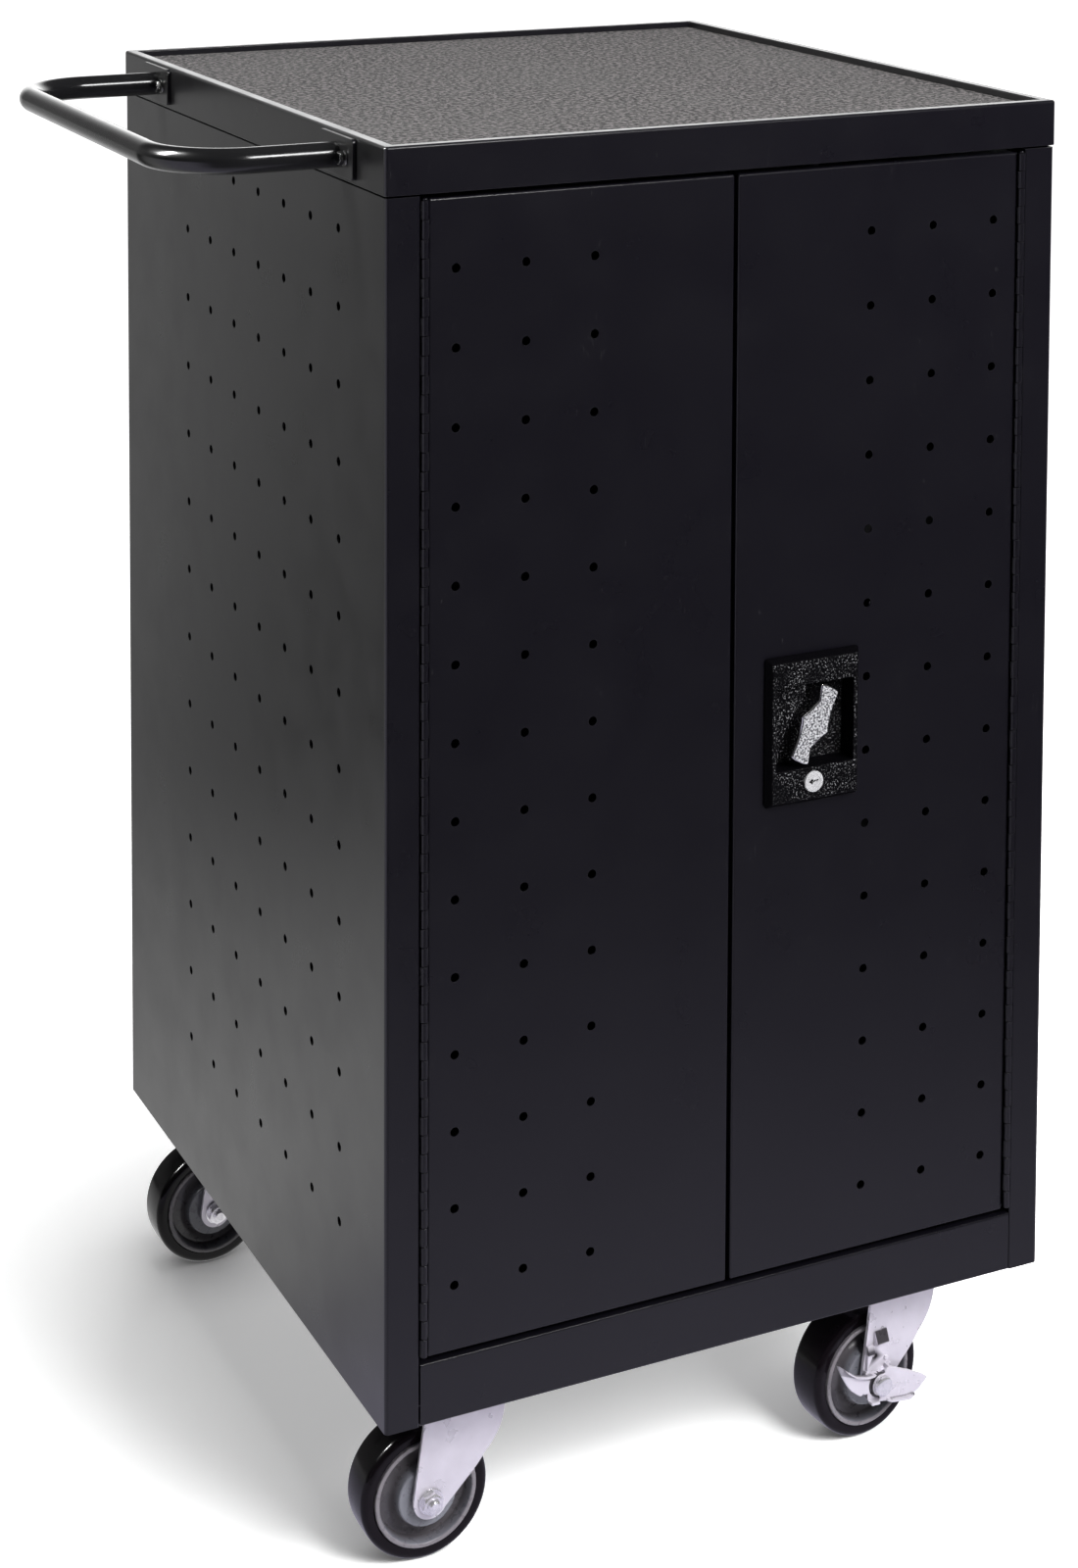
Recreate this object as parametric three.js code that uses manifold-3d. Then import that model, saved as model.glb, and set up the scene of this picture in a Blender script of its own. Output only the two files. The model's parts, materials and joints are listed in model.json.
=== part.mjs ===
// A ventilated two-door tool cart on four swivel casters, with a mat-lined tray top and a push handle.
// Millimetres. +X runs right along the front, +Y to the back, +Z up.
// Pieces are drawn from the cabinet's front left corner at floor level. The whole group is moved at the
// end, so that the origin is on the floor in the middle of the cart's footprint, handle included.

import * as THREE from "three";
import { mergeVertices } from "three/addons/utils/BufferGeometryUtils.js";
import Module from "manifold-3d";

const wasm = await Module();
wasm.setup();

// ---- driving dimensions ----

const GAP = 0.3; // between pieces that touch

const CABINET_W = 562;
const CABINET_D = 580;
const CABINET_Z = 134; // underside of the cabinet, which is also the casters' overall height
const WALL_TOP_Z = 1028.9;
const SHEET = 1.2;
const BEND_R = 3; // outside radius of the cabinet's vertical bends
const STILE_W = 26.6; // front face of each side panel
const JAMB_D = 22; // depth of the stile's return
const BACK_LAP = 18; // width of the side panel's rear flange
const RAIL_H = 46; // bottom rail
const RAIL_SEAM = 0.8;

const TRAY_OVERHANG = 0.8;
const TRAY_BOTTOM_Z = 1030.4;
const TRAY_TOP_Z = 1065.4;
const TRAY_HEM = 9.5; // width of the rim's folded top
const DECK_DROP = 8; // rim top down to the deck
const MAT_T = 2.7;

const TOP_FRAME_Z = 1029.3;
const TOP_FRAME_FLANGE = 24;
const TOP_FRAME_T = 1.5;

const VENT_R = 3.5;
const VENT_SIDES = 4;
const VENT_ROWS = 14;
const VENT_ROW_PITCH = 57.15;
const SIDE_VENTS = { first: 87.6, pitch: 55.1, columns: 7, bottom: CABINET_Z + 116.7 };
const DOOR_VENTS = { first: 54.5, pitch: 54.9, columns: 3, bottom: CABINET_Z + 98.8 };

const DOOR_FACE_Y = 1.2;
const DOOR_D = 19;
const DOOR_BOTTOM_Z = CABINET_Z + 49.6;
const DOOR_TOP_Z = 1026.5;
const DOOR_INSET = 33.4; // cabinet side to the door's hinged edge
const DOOR_SPLIT = 3.3;

const HINGE_INSET = 30; // cabinet side to the hinge axis
const HINGE_Y = 0.2;
const KNUCKLE_R = 2.7;
const HINGE_BORE_R = 1.6;
const HINGE_PIN_R = 1.2;
const LEAF_T = 1.2;
const LEAF_D = 16.6;
const KNUCKLES = 7;
const HINGE_BOTTOM_Z = DOOR_BOTTOM_Z + 2;
const HINGE_TOP_Z = DOOR_TOP_Z - 0.5;

const SHELF_T = 15;
const SHELF_Z = [455, 730]; // top faces; each edge lies between two rows of side vents

const LOCK_X = 348.6;
const LOCK_Z = 605; // lever pivot
const PLATE_CENTRE_Z = 601.8;
const PLATE_FACE_Y = -6;
const POCKET = { halfW: 33.5, halfH: 32, ledgeY: -1, floorY: 11, wall: 1.5 };
const LEVER_FRONT_Y = -6.2;
const LEVER_T = 4;
const SHAFT_R = 4.9;
const CYLINDER_X = 347.2;
const CYLINDER_Z = 561.7;
const CYLINDER_R = 6.8;
const CYLINDER_FACE_R = 8.1;
const CAM_Y = 13.2;
const CAM_T = 2;
const CRANK_R = 10;
const ROD_R = 3;
const ROD_X = 8.5; // rod centre line to the lever pivot
const ROD_Y = 16.9;

const HANDLE_R = 9.525;
const HANDLE_BORE_R = 7.9;
const HANDLE_LEGS_Y = [82, 488];
const HANDLE_Z = CABINET_Z + 914.5;
const HANDLE_REACH = 126; // cabinet side to the grip's centre line
const HANDLE_BEND_R = 58;
const HANDLE_PLATE = { width: 62, height: 30, thickness: 3 };
const HANDLE_BOLT_OFFSET = 17;

const WHEEL_R = 50.8;
const WHEEL_HALF_W = 16.5; // of the tyre; the hub is a little wider
const WHEEL_TRAIL = 39; // swivel axis to axle
// Swivel axes and rest headings. They are a few millimetres off a true rectangle.
const CASTERS = [
  { label: "caster_front_left", x: 91.1, y: 62.3, restDegrees: -0.8, braked: false },
  { label: "caster_front_right", x: 468.8, y: 63.6, restDegrees: 6.8, braked: true },
  { label: "caster_back_left", x: 86.8, y: 521.1, restDegrees: 1.2, braked: false },
  { label: "caster_back_right", x: 471, y: 519, restDegrees: 0, braked: true },
];
const CASTER_PLATE = { length: 92, width: 66, thickness: 3 };
const FORK_T = 2.8;
const FORK_HALF_W = 26; // to the outside of a leg
const FORK_CROWN_Z = 115.8;
const AXLE_R = 5;
const BRAKE_PLATE_T = 2.2;
const PEDAL_DEPTH = 6.6;

// ---- finishes ----

function finish(color, roughness, metalness) {
  return new THREE.MeshStandardMaterial({ color, roughness, metalness });
}

const FINISH = {
  powderCoat: () => finish(0x1f1f23, 0.45, 0.1),
  glossBlack: () => finish(0x0c0c0e, 0.2, 0.1),
  castBlack: () => finish(0x18181a, 0.7, 0.1),
  mat: () => finish(0x47474a, 0.95, 0),
  chrome: () => finish(0xc9c9cc, 0.25, 1),
  zinc: () => finish(0xc4c3cc, 0.4, 1),
  tyre: () => finish(0x0d0d10, 0.15, 0),
  hub: () => finish(0x77757c, 0.45, 0),
};

// ---- solids: closed three.js geometry, joined and cut as manifolds ----

function signedVolume(positions, indices) {
  const corner = [new THREE.Vector3(), new THREE.Vector3(), new THREE.Vector3()];
  let volume = 0;
  for (let i = 0; i < indices.length; i += 3) {
    corner.forEach((point, k) => point.fromArray(positions, indices[i + k] * 3));
    volume += corner[0].dot(corner[1].clone().cross(corner[2])) / 6;
  }
  return volume;
}

function solid(geometry) {
  geometry.deleteAttribute("normal");
  geometry.deleteAttribute("uv");
  const merged = mergeVertices(geometry, 1e-4);
  const vertProperties = Float32Array.from(merged.attributes.position.array);
  const triVerts = Uint32Array.from(merged.index.array);
  if (signedVolume(vertProperties, triVerts) < 0) {
    triVerts.reverse();
  }
  return new wasm.Manifold(new wasm.Mesh({ numProp: 3, vertProperties, triVerts }));
}

function geometryOf(body) {
  const mesh = body.getMesh();
  const geometry = new THREE.BufferGeometry();
  geometry.setAttribute("position", new THREE.BufferAttribute(mesh.vertProperties, 3));
  geometry.setIndex(new THREE.BufferAttribute(mesh.triVerts, 1));
  geometry.computeVertexNormals();
  return geometry;
}

function join(...bodies) {
  return bodies.reduce((whole, body) => whole.add(body));
}

function cut(body, ...tools) {
  return tools.reduce((rest, tool) => rest.subtract(tool), body);
}

function box(x0, x1, y0, y1, z0, z1) {
  const geometry = new THREE.BoxGeometry(x1 - x0, y1 - y0, z1 - z0);
  geometry.translate((x0 + x1) / 2, (y0 + y1) / 2, (z0 + z1) / 2);
  return solid(geometry);
}

function rodX(radius, x0, x1, y, z, sides = 16) {
  const geometry = new THREE.CylinderGeometry(radius, radius, x1 - x0, sides);
  geometry.rotateZ(-Math.PI / 2);
  geometry.translate((x0 + x1) / 2, y, z);
  return solid(geometry);
}

function rodY(radius, y0, y1, x, z, sides = 16, frontRadius = radius) {
  const geometry = new THREE.CylinderGeometry(radius, frontRadius, y1 - y0, sides);
  geometry.translate(x, (y0 + y1) / 2, z);
  return solid(geometry);
}

function rodZ(radius, z0, z1, x, y, sides = 16, bottomRadius = radius) {
  const geometry = new THREE.CylinderGeometry(radius, bottomRadius, z1 - z0, sides);
  geometry.rotateX(Math.PI / 2);
  geometry.translate(x, y, (z0 + z1) / 2);
  return solid(geometry);
}

function outline(points) {
  return new THREE.Shape(points.map(([u, v]) => new THREE.Vector2(u, v)));
}

// A plan outline in X and Y, raised from z0 to z1.
function raisePlan(shape, z0, z1, curveSegments = 6) {
  const geometry = new THREE.ExtrudeGeometry(shape, { depth: z1 - z0, bevelEnabled: false, curveSegments });
  geometry.translate(0, 0, z0);
  return solid(geometry);
}

// A front-view outline in X and Z, given thickness from y0 to y1.
function thickenFront(shape, y0, y1, curveSegments = 6) {
  const geometry = new THREE.ExtrudeGeometry(shape, { depth: y1 - y0, bevelEnabled: false, curveSegments });
  geometry.rotateX(Math.PI / 2);
  geometry.translate(0, y1, 0);
  return solid(geometry);
}

// A closed profile of [radius, y] points, turned about the Y axis.
function turn(profile, sides) {
  const points = [...profile, profile[0]].map(([radius, y]) => new THREE.Vector2(radius, y));
  return solid(new THREE.LatheGeometry(points, sides));
}

// ---- the assembly ----

const cart = new THREE.Group();

function addPart(name, body, material, parent = cart) {
  const mesh = new THREE.Mesh(geometryOf(body), material);
  mesh.name = name;
  parent.add(mesh);
}

function mirrorX(body) {
  const geometry = geometryOf(body);
  geometry.scale(-1, 1, 1);
  geometry.translate(CABINET_W, 0, 0);
  return solid(geometry);
}

// ---- cabinet shell ----

// One bent sheet seen from above: stile return, stile, side wall and rear flange.
function sidePanelPlan() {
  const shape = new THREE.Shape();
  shape.moveTo(STILE_W, JAMB_D);
  shape.lineTo(STILE_W, 0);
  shape.lineTo(BEND_R, 0);
  shape.absarc(BEND_R, BEND_R, BEND_R, -Math.PI / 2, -Math.PI, true);
  shape.lineTo(0, CABINET_D - BEND_R);
  shape.absarc(BEND_R, CABINET_D - BEND_R, BEND_R, Math.PI, Math.PI / 2, true);
  shape.lineTo(BACK_LAP, CABINET_D);
  shape.lineTo(BACK_LAP, CABINET_D - SHEET);
  shape.lineTo(BEND_R, CABINET_D - SHEET);
  shape.absarc(BEND_R, CABINET_D - BEND_R, BEND_R - SHEET, Math.PI / 2, Math.PI, false);
  shape.lineTo(SHEET, BEND_R);
  shape.absarc(BEND_R, BEND_R, BEND_R - SHEET, -Math.PI, -Math.PI / 2, false);
  shape.lineTo(STILE_W - SHEET, SHEET);
  shape.lineTo(STILE_W - SHEET, JAMB_D);
  return shape;
}

function sideVents() {
  const vents = [];
  for (let column = 0; column < SIDE_VENTS.columns; column += 1) {
    for (let row = 0; row < VENT_ROWS; row += 1) {
      const y = SIDE_VENTS.first + column * SIDE_VENTS.pitch;
      const z = SIDE_VENTS.bottom + row * VENT_ROW_PITCH;
      vents.push(rodX(VENT_R, -1, SHEET + 1, y, z, VENT_SIDES));
    }
  }
  return vents;
}

function leftSidePanel() {
  const sheet = raisePlan(sidePanelPlan(), CABINET_Z, WALL_TOP_Z, 2);
  return cut(sheet, ...sideVents());
}

function backPanel() {
  const inset = BEND_R + GAP;
  const y1 = CABINET_D - SHEET - GAP;
  const top = WALL_TOP_Z;
  const sheet = box(inset, CABINET_W - inset, y1 - SHEET, y1, CABINET_Z, top);
  const stiffener = box(inset, CABINET_W - inset, y1 - 12, y1 - SHEET + 0.01, top - SHEET, top);
  return join(sheet, stiffener);
}

function bottomRail() {
  const x0 = STILE_W + RAIL_SEAM;
  const x1 = CABINET_W - x0;
  const top = CABINET_Z + RAIL_H;
  const face = box(x0, x1, 0, SHEET, CABINET_Z, top);
  const ledge = box(x0, x1, 0, JAMB_D, top - SHEET, top);
  const foot = box(x0, x1, 0, JAMB_D, CABINET_Z, CABINET_Z + SHEET);
  const rodHole = rodZ(ROD_R + 1.5, top - 4, top + 1, LOCK_X - ROD_X, ROD_Y, 12);
  return cut(join(face, ledge, foot), rodHole);
}

function bottomPan() {
  const inset = SHEET + GAP;
  const y0 = JAMB_D + 1;
  const y1 = CABINET_D - 2 * SHEET - 2 * GAP;
  const wallTop = CABINET_Z + RAIL_H - 4;
  const block = box(inset, CABINET_W - inset, y0, y1, CABINET_Z, wallTop);
  const hollow = box(
    inset + SHEET, CABINET_W - inset - SHEET, y0 + SHEET, y1 - SHEET, CABINET_Z + 2, wallTop + 1,
  );
  return cut(block, hollow);
}

function topFrame() {
  const inset = SHEET + GAP;
  const y0 = 2.5;
  const y1 = CABINET_D - y0;
  const top = TRAY_TOP_Z - DECK_DROP - SHEET - GAP;
  const inner = inset + TOP_FRAME_T;
  const lip = inset + TOP_FRAME_FLANGE;
  const block = box(inset, CABINET_W - inset, y0, y1, TOP_FRAME_Z, top);
  const hollow = box(
    inner, CABINET_W - inner, y0 + TOP_FRAME_T, y1 - TOP_FRAME_T, TOP_FRAME_Z + TOP_FRAME_T, top + 1,
  );
  const mouth = box(lip, CABINET_W - lip, y0 + lip, y1 - lip, TOP_FRAME_Z - 1, top);
  const rodHole = rodZ(ROD_R + 1.5, TOP_FRAME_Z - 1, TOP_FRAME_Z + 3, LOCK_X + ROD_X, ROD_Y, 12);
  return cut(block, hollow, mouth, rodHole);
}

function insetBox(inset, z0, z1) {
  const outer = inset - TRAY_OVERHANG;
  return box(outer, CABINET_W - outer, outer, CABINET_D - outer, z0, z1);
}

function topTray() {
  const deckTop = TRAY_TOP_Z - DECK_DROP;
  const deckBottom = deckTop - SHEET;
  const block = insetBox(0, TRAY_BOTTOM_Z, TRAY_TOP_Z);
  const well = insetBox(TRAY_HEM, deckTop, TRAY_TOP_Z + 1);
  const underside = insetBox(SHEET, TRAY_BOTTOM_Z - 1, deckBottom);
  const hemChannel = cut(
    insetBox(SHEET, deckBottom - 0.01, TRAY_TOP_Z - SHEET),
    insetBox(TRAY_HEM - SHEET, deckBottom - 1, TRAY_TOP_Z),
  );
  return cut(block, well, underside, hemChannel);
}

function trayMat() {
  const bottom = TRAY_TOP_Z - DECK_DROP + GAP;
  return insetBox(TRAY_HEM + GAP, bottom, bottom + MAT_T);
}

function shelf(z) {
  const x0 = SHEET + 2 * GAP;
  const y0 = JAMB_D + 6;
  const y1 = CABINET_D - 16;
  const block = box(x0, CABINET_W - x0, y0, y1, z - SHELF_T, z);
  const hollow = box(
    x0 + SHEET, CABINET_W - x0 - SHEET, y0 + SHEET, y1 - SHEET, z - SHELF_T - 1, z - SHEET,
  );
  return cut(block, hollow);
}

addPart("left_side_panel", leftSidePanel(), FINISH.powderCoat());
addPart("right_side_panel", mirrorX(leftSidePanel()), FINISH.powderCoat());
addPart("back_panel", backPanel(), FINISH.powderCoat());
addPart("bottom_rail", bottomRail(), FINISH.powderCoat());
addPart("bottom_pan", bottomPan(), FINISH.powderCoat());
addPart("top_frame", topFrame(), FINISH.powderCoat());
addPart("top_tray", topTray(), FINISH.powderCoat());
addPart("tray_mat", trayMat(), FINISH.mat());
addPart("lower_shelf", shelf(SHELF_Z[0]), FINISH.powderCoat());
addPart("upper_shelf", shelf(SHELF_Z[1]), FINISH.powderCoat());

// ---- doors ----

const DOOR_W = CABINET_W / 2 - DOOR_SPLIT / 2 - DOOR_INSET;

function doorVents() {
  const vents = [];
  for (let column = 0; column < DOOR_VENTS.columns; column += 1) {
    for (let row = 0; row < VENT_ROWS; row += 1) {
      const x = DOOR_VENTS.first + column * DOOR_VENTS.pitch;
      const z = DOOR_VENTS.bottom + row * VENT_ROW_PITCH;
      vents.push(rodY(VENT_R, DOOR_FACE_Y - 1, DOOR_FACE_Y + SHEET + 1, x, z, VENT_SIDES));
    }
  }
  return vents;
}

function leftDoor() {
  const x1 = DOOR_INSET + DOOR_W;
  const y1 = DOOR_FACE_Y + DOOR_D;
  const block = box(DOOR_INSET, x1, DOOR_FACE_Y, y1, DOOR_BOTTOM_Z, DOOR_TOP_Z);
  const hollow = box(
    DOOR_INSET + SHEET, x1 - SHEET, DOOR_FACE_Y + SHEET, y1 + 1,
    DOOR_BOTTOM_Z + SHEET, DOOR_TOP_Z - SHEET,
  );
  return cut(block, hollow, ...doorVents());
}

function rightDoor() {
  const halfW = POCKET.halfW + POCKET.wall + 0.4;
  const halfH = POCKET.halfH + POCKET.wall + 0.4;
  const pocketHole = box(
    LOCK_X - halfW, LOCK_X + halfW, DOOR_FACE_Y - 1, DOOR_FACE_Y + 3, LOCK_Z - halfH, LOCK_Z + halfH,
  );
  const cylinderHole = rodY(CYLINDER_R + 0.9, DOOR_FACE_Y - 1, DOOR_FACE_Y + 3, CYLINDER_X, CYLINDER_Z);
  const topHole = rodZ(ROD_R + 0.7, DOOR_TOP_Z - 3, DOOR_TOP_Z + 1, LOCK_X + ROD_X, ROD_Y, 12);
  const bottomHole = rodZ(ROD_R + 0.7, DOOR_BOTTOM_Z - 1, DOOR_BOTTOM_Z + 3, LOCK_X - ROD_X, ROD_Y, 12);
  return cut(mirrorX(leftDoor()), pocketHole, cylinderHole, topHole, bottomHole);
}

addPart("left_door", leftDoor(), FINISH.powderCoat());
addPart("right_door", rightDoor(), FINISH.powderCoat());

// ---- piano hinges ----

// Frame and door leaves take alternate knuckles. The frame leaf has the first and the last.
function hingeLeaf(x0, x1, firstKnuckle) {
  const plateY = HINGE_Y + KNUCKLE_R + GAP;
  const pitch = (HINGE_TOP_Z - HINGE_BOTTOM_Z) / KNUCKLES;
  let leaf = box(x0, x1, plateY, plateY + LEAF_D, HINGE_BOTTOM_Z, HINGE_TOP_Z);
  for (let k = firstKnuckle; k < KNUCKLES; k += 2) {
    const z0 = HINGE_BOTTOM_Z + k * pitch + GAP / 2;
    const z1 = HINGE_BOTTOM_Z + (k + 1) * pitch - GAP / 2;
    const knuckle = rodZ(KNUCKLE_R, z0, z1, HINGE_INSET, HINGE_Y, 12);
    const tab = box(x0, x1, HINGE_Y - 0.9, plateY + 0.5, z0, z1);
    leaf = join(leaf, knuckle, tab);
  }
  const bore = rodZ(HINGE_BORE_R, HINGE_BOTTOM_Z - 1, HINGE_TOP_Z + 1, HINGE_INSET, HINGE_Y, 8);
  return cut(leaf, bore);
}

function hingePin() {
  const shank = rodZ(HINGE_PIN_R, HINGE_BOTTOM_Z, HINGE_TOP_Z + GAP, HINGE_INSET, HINGE_Y, 8);
  const head = rodZ(2, HINGE_TOP_Z + GAP, HINGE_TOP_Z + 1.5, HINGE_INSET, HINGE_Y, 8);
  return join(shank, head);
}

const frameLeaf = hingeLeaf(STILE_W + GAP, STILE_W + GAP + LEAF_T, 0);
const doorLeaf = hingeLeaf(DOOR_INSET - GAP - LEAF_T, DOOR_INSET - GAP, 1);

addPart("left_hinge_frame_leaf", frameLeaf, FINISH.powderCoat());
addPart("left_hinge_door_leaf", doorLeaf, FINISH.powderCoat());
addPart("left_hinge_pin", hingePin(), FINISH.powderCoat());
addPart("right_hinge_frame_leaf", mirrorX(frameLeaf), FINISH.powderCoat());
addPart("right_hinge_door_leaf", mirrorX(doorLeaf), FINISH.powderCoat());
addPart("right_hinge_pin", mirrorX(hingePin()), FINISH.powderCoat());

// ---- door lock ----

// A plate that narrows from its back to its face by the bevel on each side.
function bevelledPlate(halfW, halfH, bevel, y0, y1) {
  const geometry = new THREE.BoxGeometry(2 * halfW, y1 - y0, 2 * halfH);
  const position = geometry.attributes.position;
  for (let i = 0; i < position.count; i += 1) {
    if (position.getY(i) < 0) {
      position.setX(i, position.getX(i) * (1 - bevel / halfW));
      position.setZ(i, position.getZ(i) * (1 - bevel / halfH));
    }
  }
  geometry.translate(LOCK_X, (y0 + y1) / 2, PLATE_CENTRE_Z);
  return solid(geometry);
}

// The deep half of the pocket. Its left edge curves down and out, which leaves a ledge for the fingers.
function pocketWell() {
  const { halfW, halfH } = POCKET;
  const shape = new THREE.Shape();
  shape.moveTo(halfW, halfH);
  shape.lineTo(halfW, -halfH);
  shape.lineTo(-halfW, -halfH);
  shape.quadraticCurveTo(-25, -2, -12, 14);
  shape.quadraticCurveTo(-6, 22, -4, halfH);
  return thickenFront(shape, PLATE_FACE_Y - 1, POCKET.floorY, 4);
}

function lockPlate() {
  const { halfW, halfH, wall } = POCKET;
  const plate = bevelledPlate(41, 57.5, 4, PLATE_FACE_Y, DOOR_FACE_Y - GAP);
  const bucket = box(
    -halfW - wall, halfW + wall, PLATE_FACE_Y + 2, POCKET.floorY + wall, -halfH - wall, halfH + wall,
  ).translate([LOCK_X, 0, LOCK_Z]);
  const shallow = box(-halfW, halfW, PLATE_FACE_Y - 1, POCKET.ledgeY, -halfH, halfH);
  const shaftHole = rodY(SHAFT_R + 0.4, 0, POCKET.floorY + wall + 1, 0, 0);
  const hollow = join(shallow, pocketWell(), shaftHole).translate([LOCK_X, 0, LOCK_Z]);
  const cylinderHole = rodY(CYLINDER_R + 0.4, PLATE_FACE_Y - 1, 5, CYLINDER_X, CYLINDER_Z);
  return cut(join(plate, bucket), hollow, cylinderHole);
}

// Half of the lever's outline, from one tip round to the other. The other half is its half-turn copy.
const LEVER_HALF = [
  [5.5, 30.3], [13.3, 27.6], [20.6, 22.4], [14.5, 8.5], [11.7, -1.8], [11.2, -8], [0.9, -14.5], [-3.7, -18.2],
];

function leverBlade() {
  const otherHalf = LEVER_HALF.map(([x, z]) => [-x, -z]);
  return outline([...LEVER_HALF, ...otherHalf]);
}

function lockLever() {
  const back = LEVER_FRONT_Y + LEVER_T;
  const blade = thickenFront(leverBlade(), LEVER_FRONT_Y, back);
  const neck = rodY(7, back - 0.01, 4, 0, 0);
  const shaft = rodY(SHAFT_R, 3, CAM_Y + CAM_T, 0, 0);
  return join(blade, neck, shaft).translate([LOCK_X, 0, LOCK_Z]);
}

// The crank's arms start at 45 degrees below the level, so that a quarter turn carries each drive pin
// straight past it.
function lockCam() {
  const c = CRANK_R * Math.SQRT1_2;
  const arm = box(-CRANK_R - 4, CRANK_R + 4, CAM_Y, CAM_Y + CAM_T, -4, 4).rotate([0, 45, 0]);
  const hubBore = rodY(SHAFT_R + 0.3, CAM_Y - 1, CAM_Y + CAM_T + 1, 0, 0);
  const disc = rodY(8.5, CAM_Y, CAM_Y + CAM_T, 0, 0);
  const pins = [1, -1].map((side) => rodY(1.75, CAM_Y + 1, CAM_Y + 5.2, side * c, -side * c, 8));
  return cut(join(arm, disc, ...pins), hubBore).translate([LOCK_X, 0, LOCK_Z]);
}

function lockCylinder() {
  const rim = CYLINDER_FACE_R - 0.4;
  const face = rodY(CYLINDER_FACE_R, PLATE_FACE_Y - 1.6, PLATE_FACE_Y - GAP, 0, 0, 20, rim);
  const barrel = rodY(CYLINDER_R, PLATE_FACE_Y - GAP - 0.01, 9.5, 0, 0);
  const keyway = box(-4, 4, PLATE_FACE_Y - 3, PLATE_FACE_Y + 3, -0.8, 0.8);
  return cut(join(face, barrel), keyway).translate([CYLINDER_X, 0, CYLINDER_Z]);
}

// A round rod with a flat slotted end. side is 1 for the upper rod and -1 for the lower one.
function latchRod(side, tipZ) {
  const c = CRANK_R * Math.SQRT1_2;
  const x = side * ROD_X;
  const pinZ = -side * c;
  const tip = tipZ - LOCK_Z;
  const flatEnd = side * 20;
  const slotEnd = pinZ - side * 5;
  const low = Math.min(slotEnd, flatEnd);
  const high = Math.max(slotEnd, flatEnd);
  const plate = box(x - 6, x + 6, ROD_Y - 1, ROD_Y + 1, low, high);
  const rod = rodZ(ROD_R, Math.min(side * 16, tip), Math.max(side * 16, tip), x, ROD_Y, 12);
  const slot = box(x - 3.8, x + 3.8, ROD_Y - 2, ROD_Y + 2, pinZ - 2.5, pinZ + 2.5);
  return cut(join(plate, rod), slot).translate([LOCK_X, 0, LOCK_Z]);
}

function rodGuide(side, z) {
  const x = LOCK_X + side * ROD_X;
  const y0 = DOOR_FACE_Y + SHEET + GAP;
  const block = box(x - 9, x + 9, y0, DOOR_FACE_Y + DOOR_D, z - 9, z + 9);
  const bore = rodZ(ROD_R + 0.35, z - 10, z + 10, x, ROD_Y, 12);
  const waist = box(x - 7.5, x + 7.5, y0 + 1.5, y0 + 9, z - 10, z + 10);
  return cut(block, bore, waist);
}

addPart("lock_plate", lockPlate(), FINISH.castBlack());
addPart("lock_lever", lockLever(), FINISH.chrome());
addPart("lock_cam", lockCam(), FINISH.zinc());
addPart("lock_cylinder", lockCylinder(), FINISH.chrome());
addPart("upper_latch_rod", latchRod(1, DOOR_TOP_Z + 1.3), FINISH.zinc());
addPart("lower_latch_rod", latchRod(-1, DOOR_BOTTOM_Z - 1.3), FINISH.zinc());
addPart("upper_rod_guide", rodGuide(1, 940), FINISH.zinc());
addPart("lower_rod_guide", rodGuide(-1, 270), FINISH.zinc());

// ---- push handle ----

// A centre line given as points, so that the bends get short steps and the straights get long ones.
class StationCurve extends THREE.Curve {
  constructor(stations) {
    super();
    this.stations = stations;
  }

  getPointAt(u) {
    const index = Math.round(u * (this.stations.length - 1));
    return this.stations[index].clone();
  }

  getTangentAt(u) {
    const last = this.stations.length - 1;
    const index = Math.round(u * last);
    const before = this.stations[Math.max(index - 1, 0)];
    const after = this.stations[Math.min(index + 1, last)];
    const incoming = this.stations[index].clone().sub(before).normalize();
    const outgoing = after.clone().sub(this.stations[index]).normalize();
    return incoming.add(outgoing).normalize();
  }
}

function handleStations() {
  const bendSteps = 6;
  const gripX = -HANDLE_REACH;
  const [frontY, rearY] = HANDLE_LEGS_Y;
  const endX = -TRAY_OVERHANG - GAP - HANDLE_PLATE.thickness - GAP;
  const stations = [new THREE.Vector3(endX, frontY, HANDLE_Z)];
  for (const [legY, side] of [[frontY, 1], [rearY, -1]]) {
    for (let i = 0; i <= bendSteps; i += 1) {
      const step = side === 1 ? i : bendSteps - i;
      const angle = (step / bendSteps) * (Math.PI / 2);
      const x = gripX + HANDLE_BEND_R * (1 - Math.sin(angle));
      const y = legY + side * HANDLE_BEND_R * (1 - Math.cos(angle));
      stations.push(new THREE.Vector3(x, y, HANDLE_Z));
    }
  }
  stations.push(new THREE.Vector3(endX, rearY, HANDLE_Z));
  return stations;
}

function circleOutline(radius, sides) {
  const points = [];
  for (let i = 0; i < sides; i += 1) {
    const angle = (2 * Math.PI * i) / sides;
    points.push(new THREE.Vector2(radius * Math.cos(angle), radius * Math.sin(angle)));
  }
  return points;
}

function pushHandle() {
  const stations = handleStations();
  const section = new THREE.Shape(circleOutline(HANDLE_R, 16));
  section.holes.push(new THREE.Path(circleOutline(HANDLE_BORE_R, 8)));
  const geometry = new THREE.ExtrudeGeometry(section, {
    steps: stations.length - 1,
    extrudePath: new StationCurve(stations),
  });
  return solid(geometry);
}

function handlePlate(y) {
  const { width, height, thickness } = HANDLE_PLATE;
  const x1 = -TRAY_OVERHANG - GAP;
  return box(x1 - thickness, x1, y - width / 2, y + width / 2, HANDLE_Z - height / 2, HANDLE_Z + height / 2);
}

function handleBolt(y) {
  const x1 = -TRAY_OVERHANG - 2 * GAP - HANDLE_PLATE.thickness;
  return join(rodX(6, x1 - 1.2, x1, y, HANDLE_Z, 12), rodX(5, x1 - 5.5, x1 - 1.19, y, HANDLE_Z, 6));
}

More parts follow.
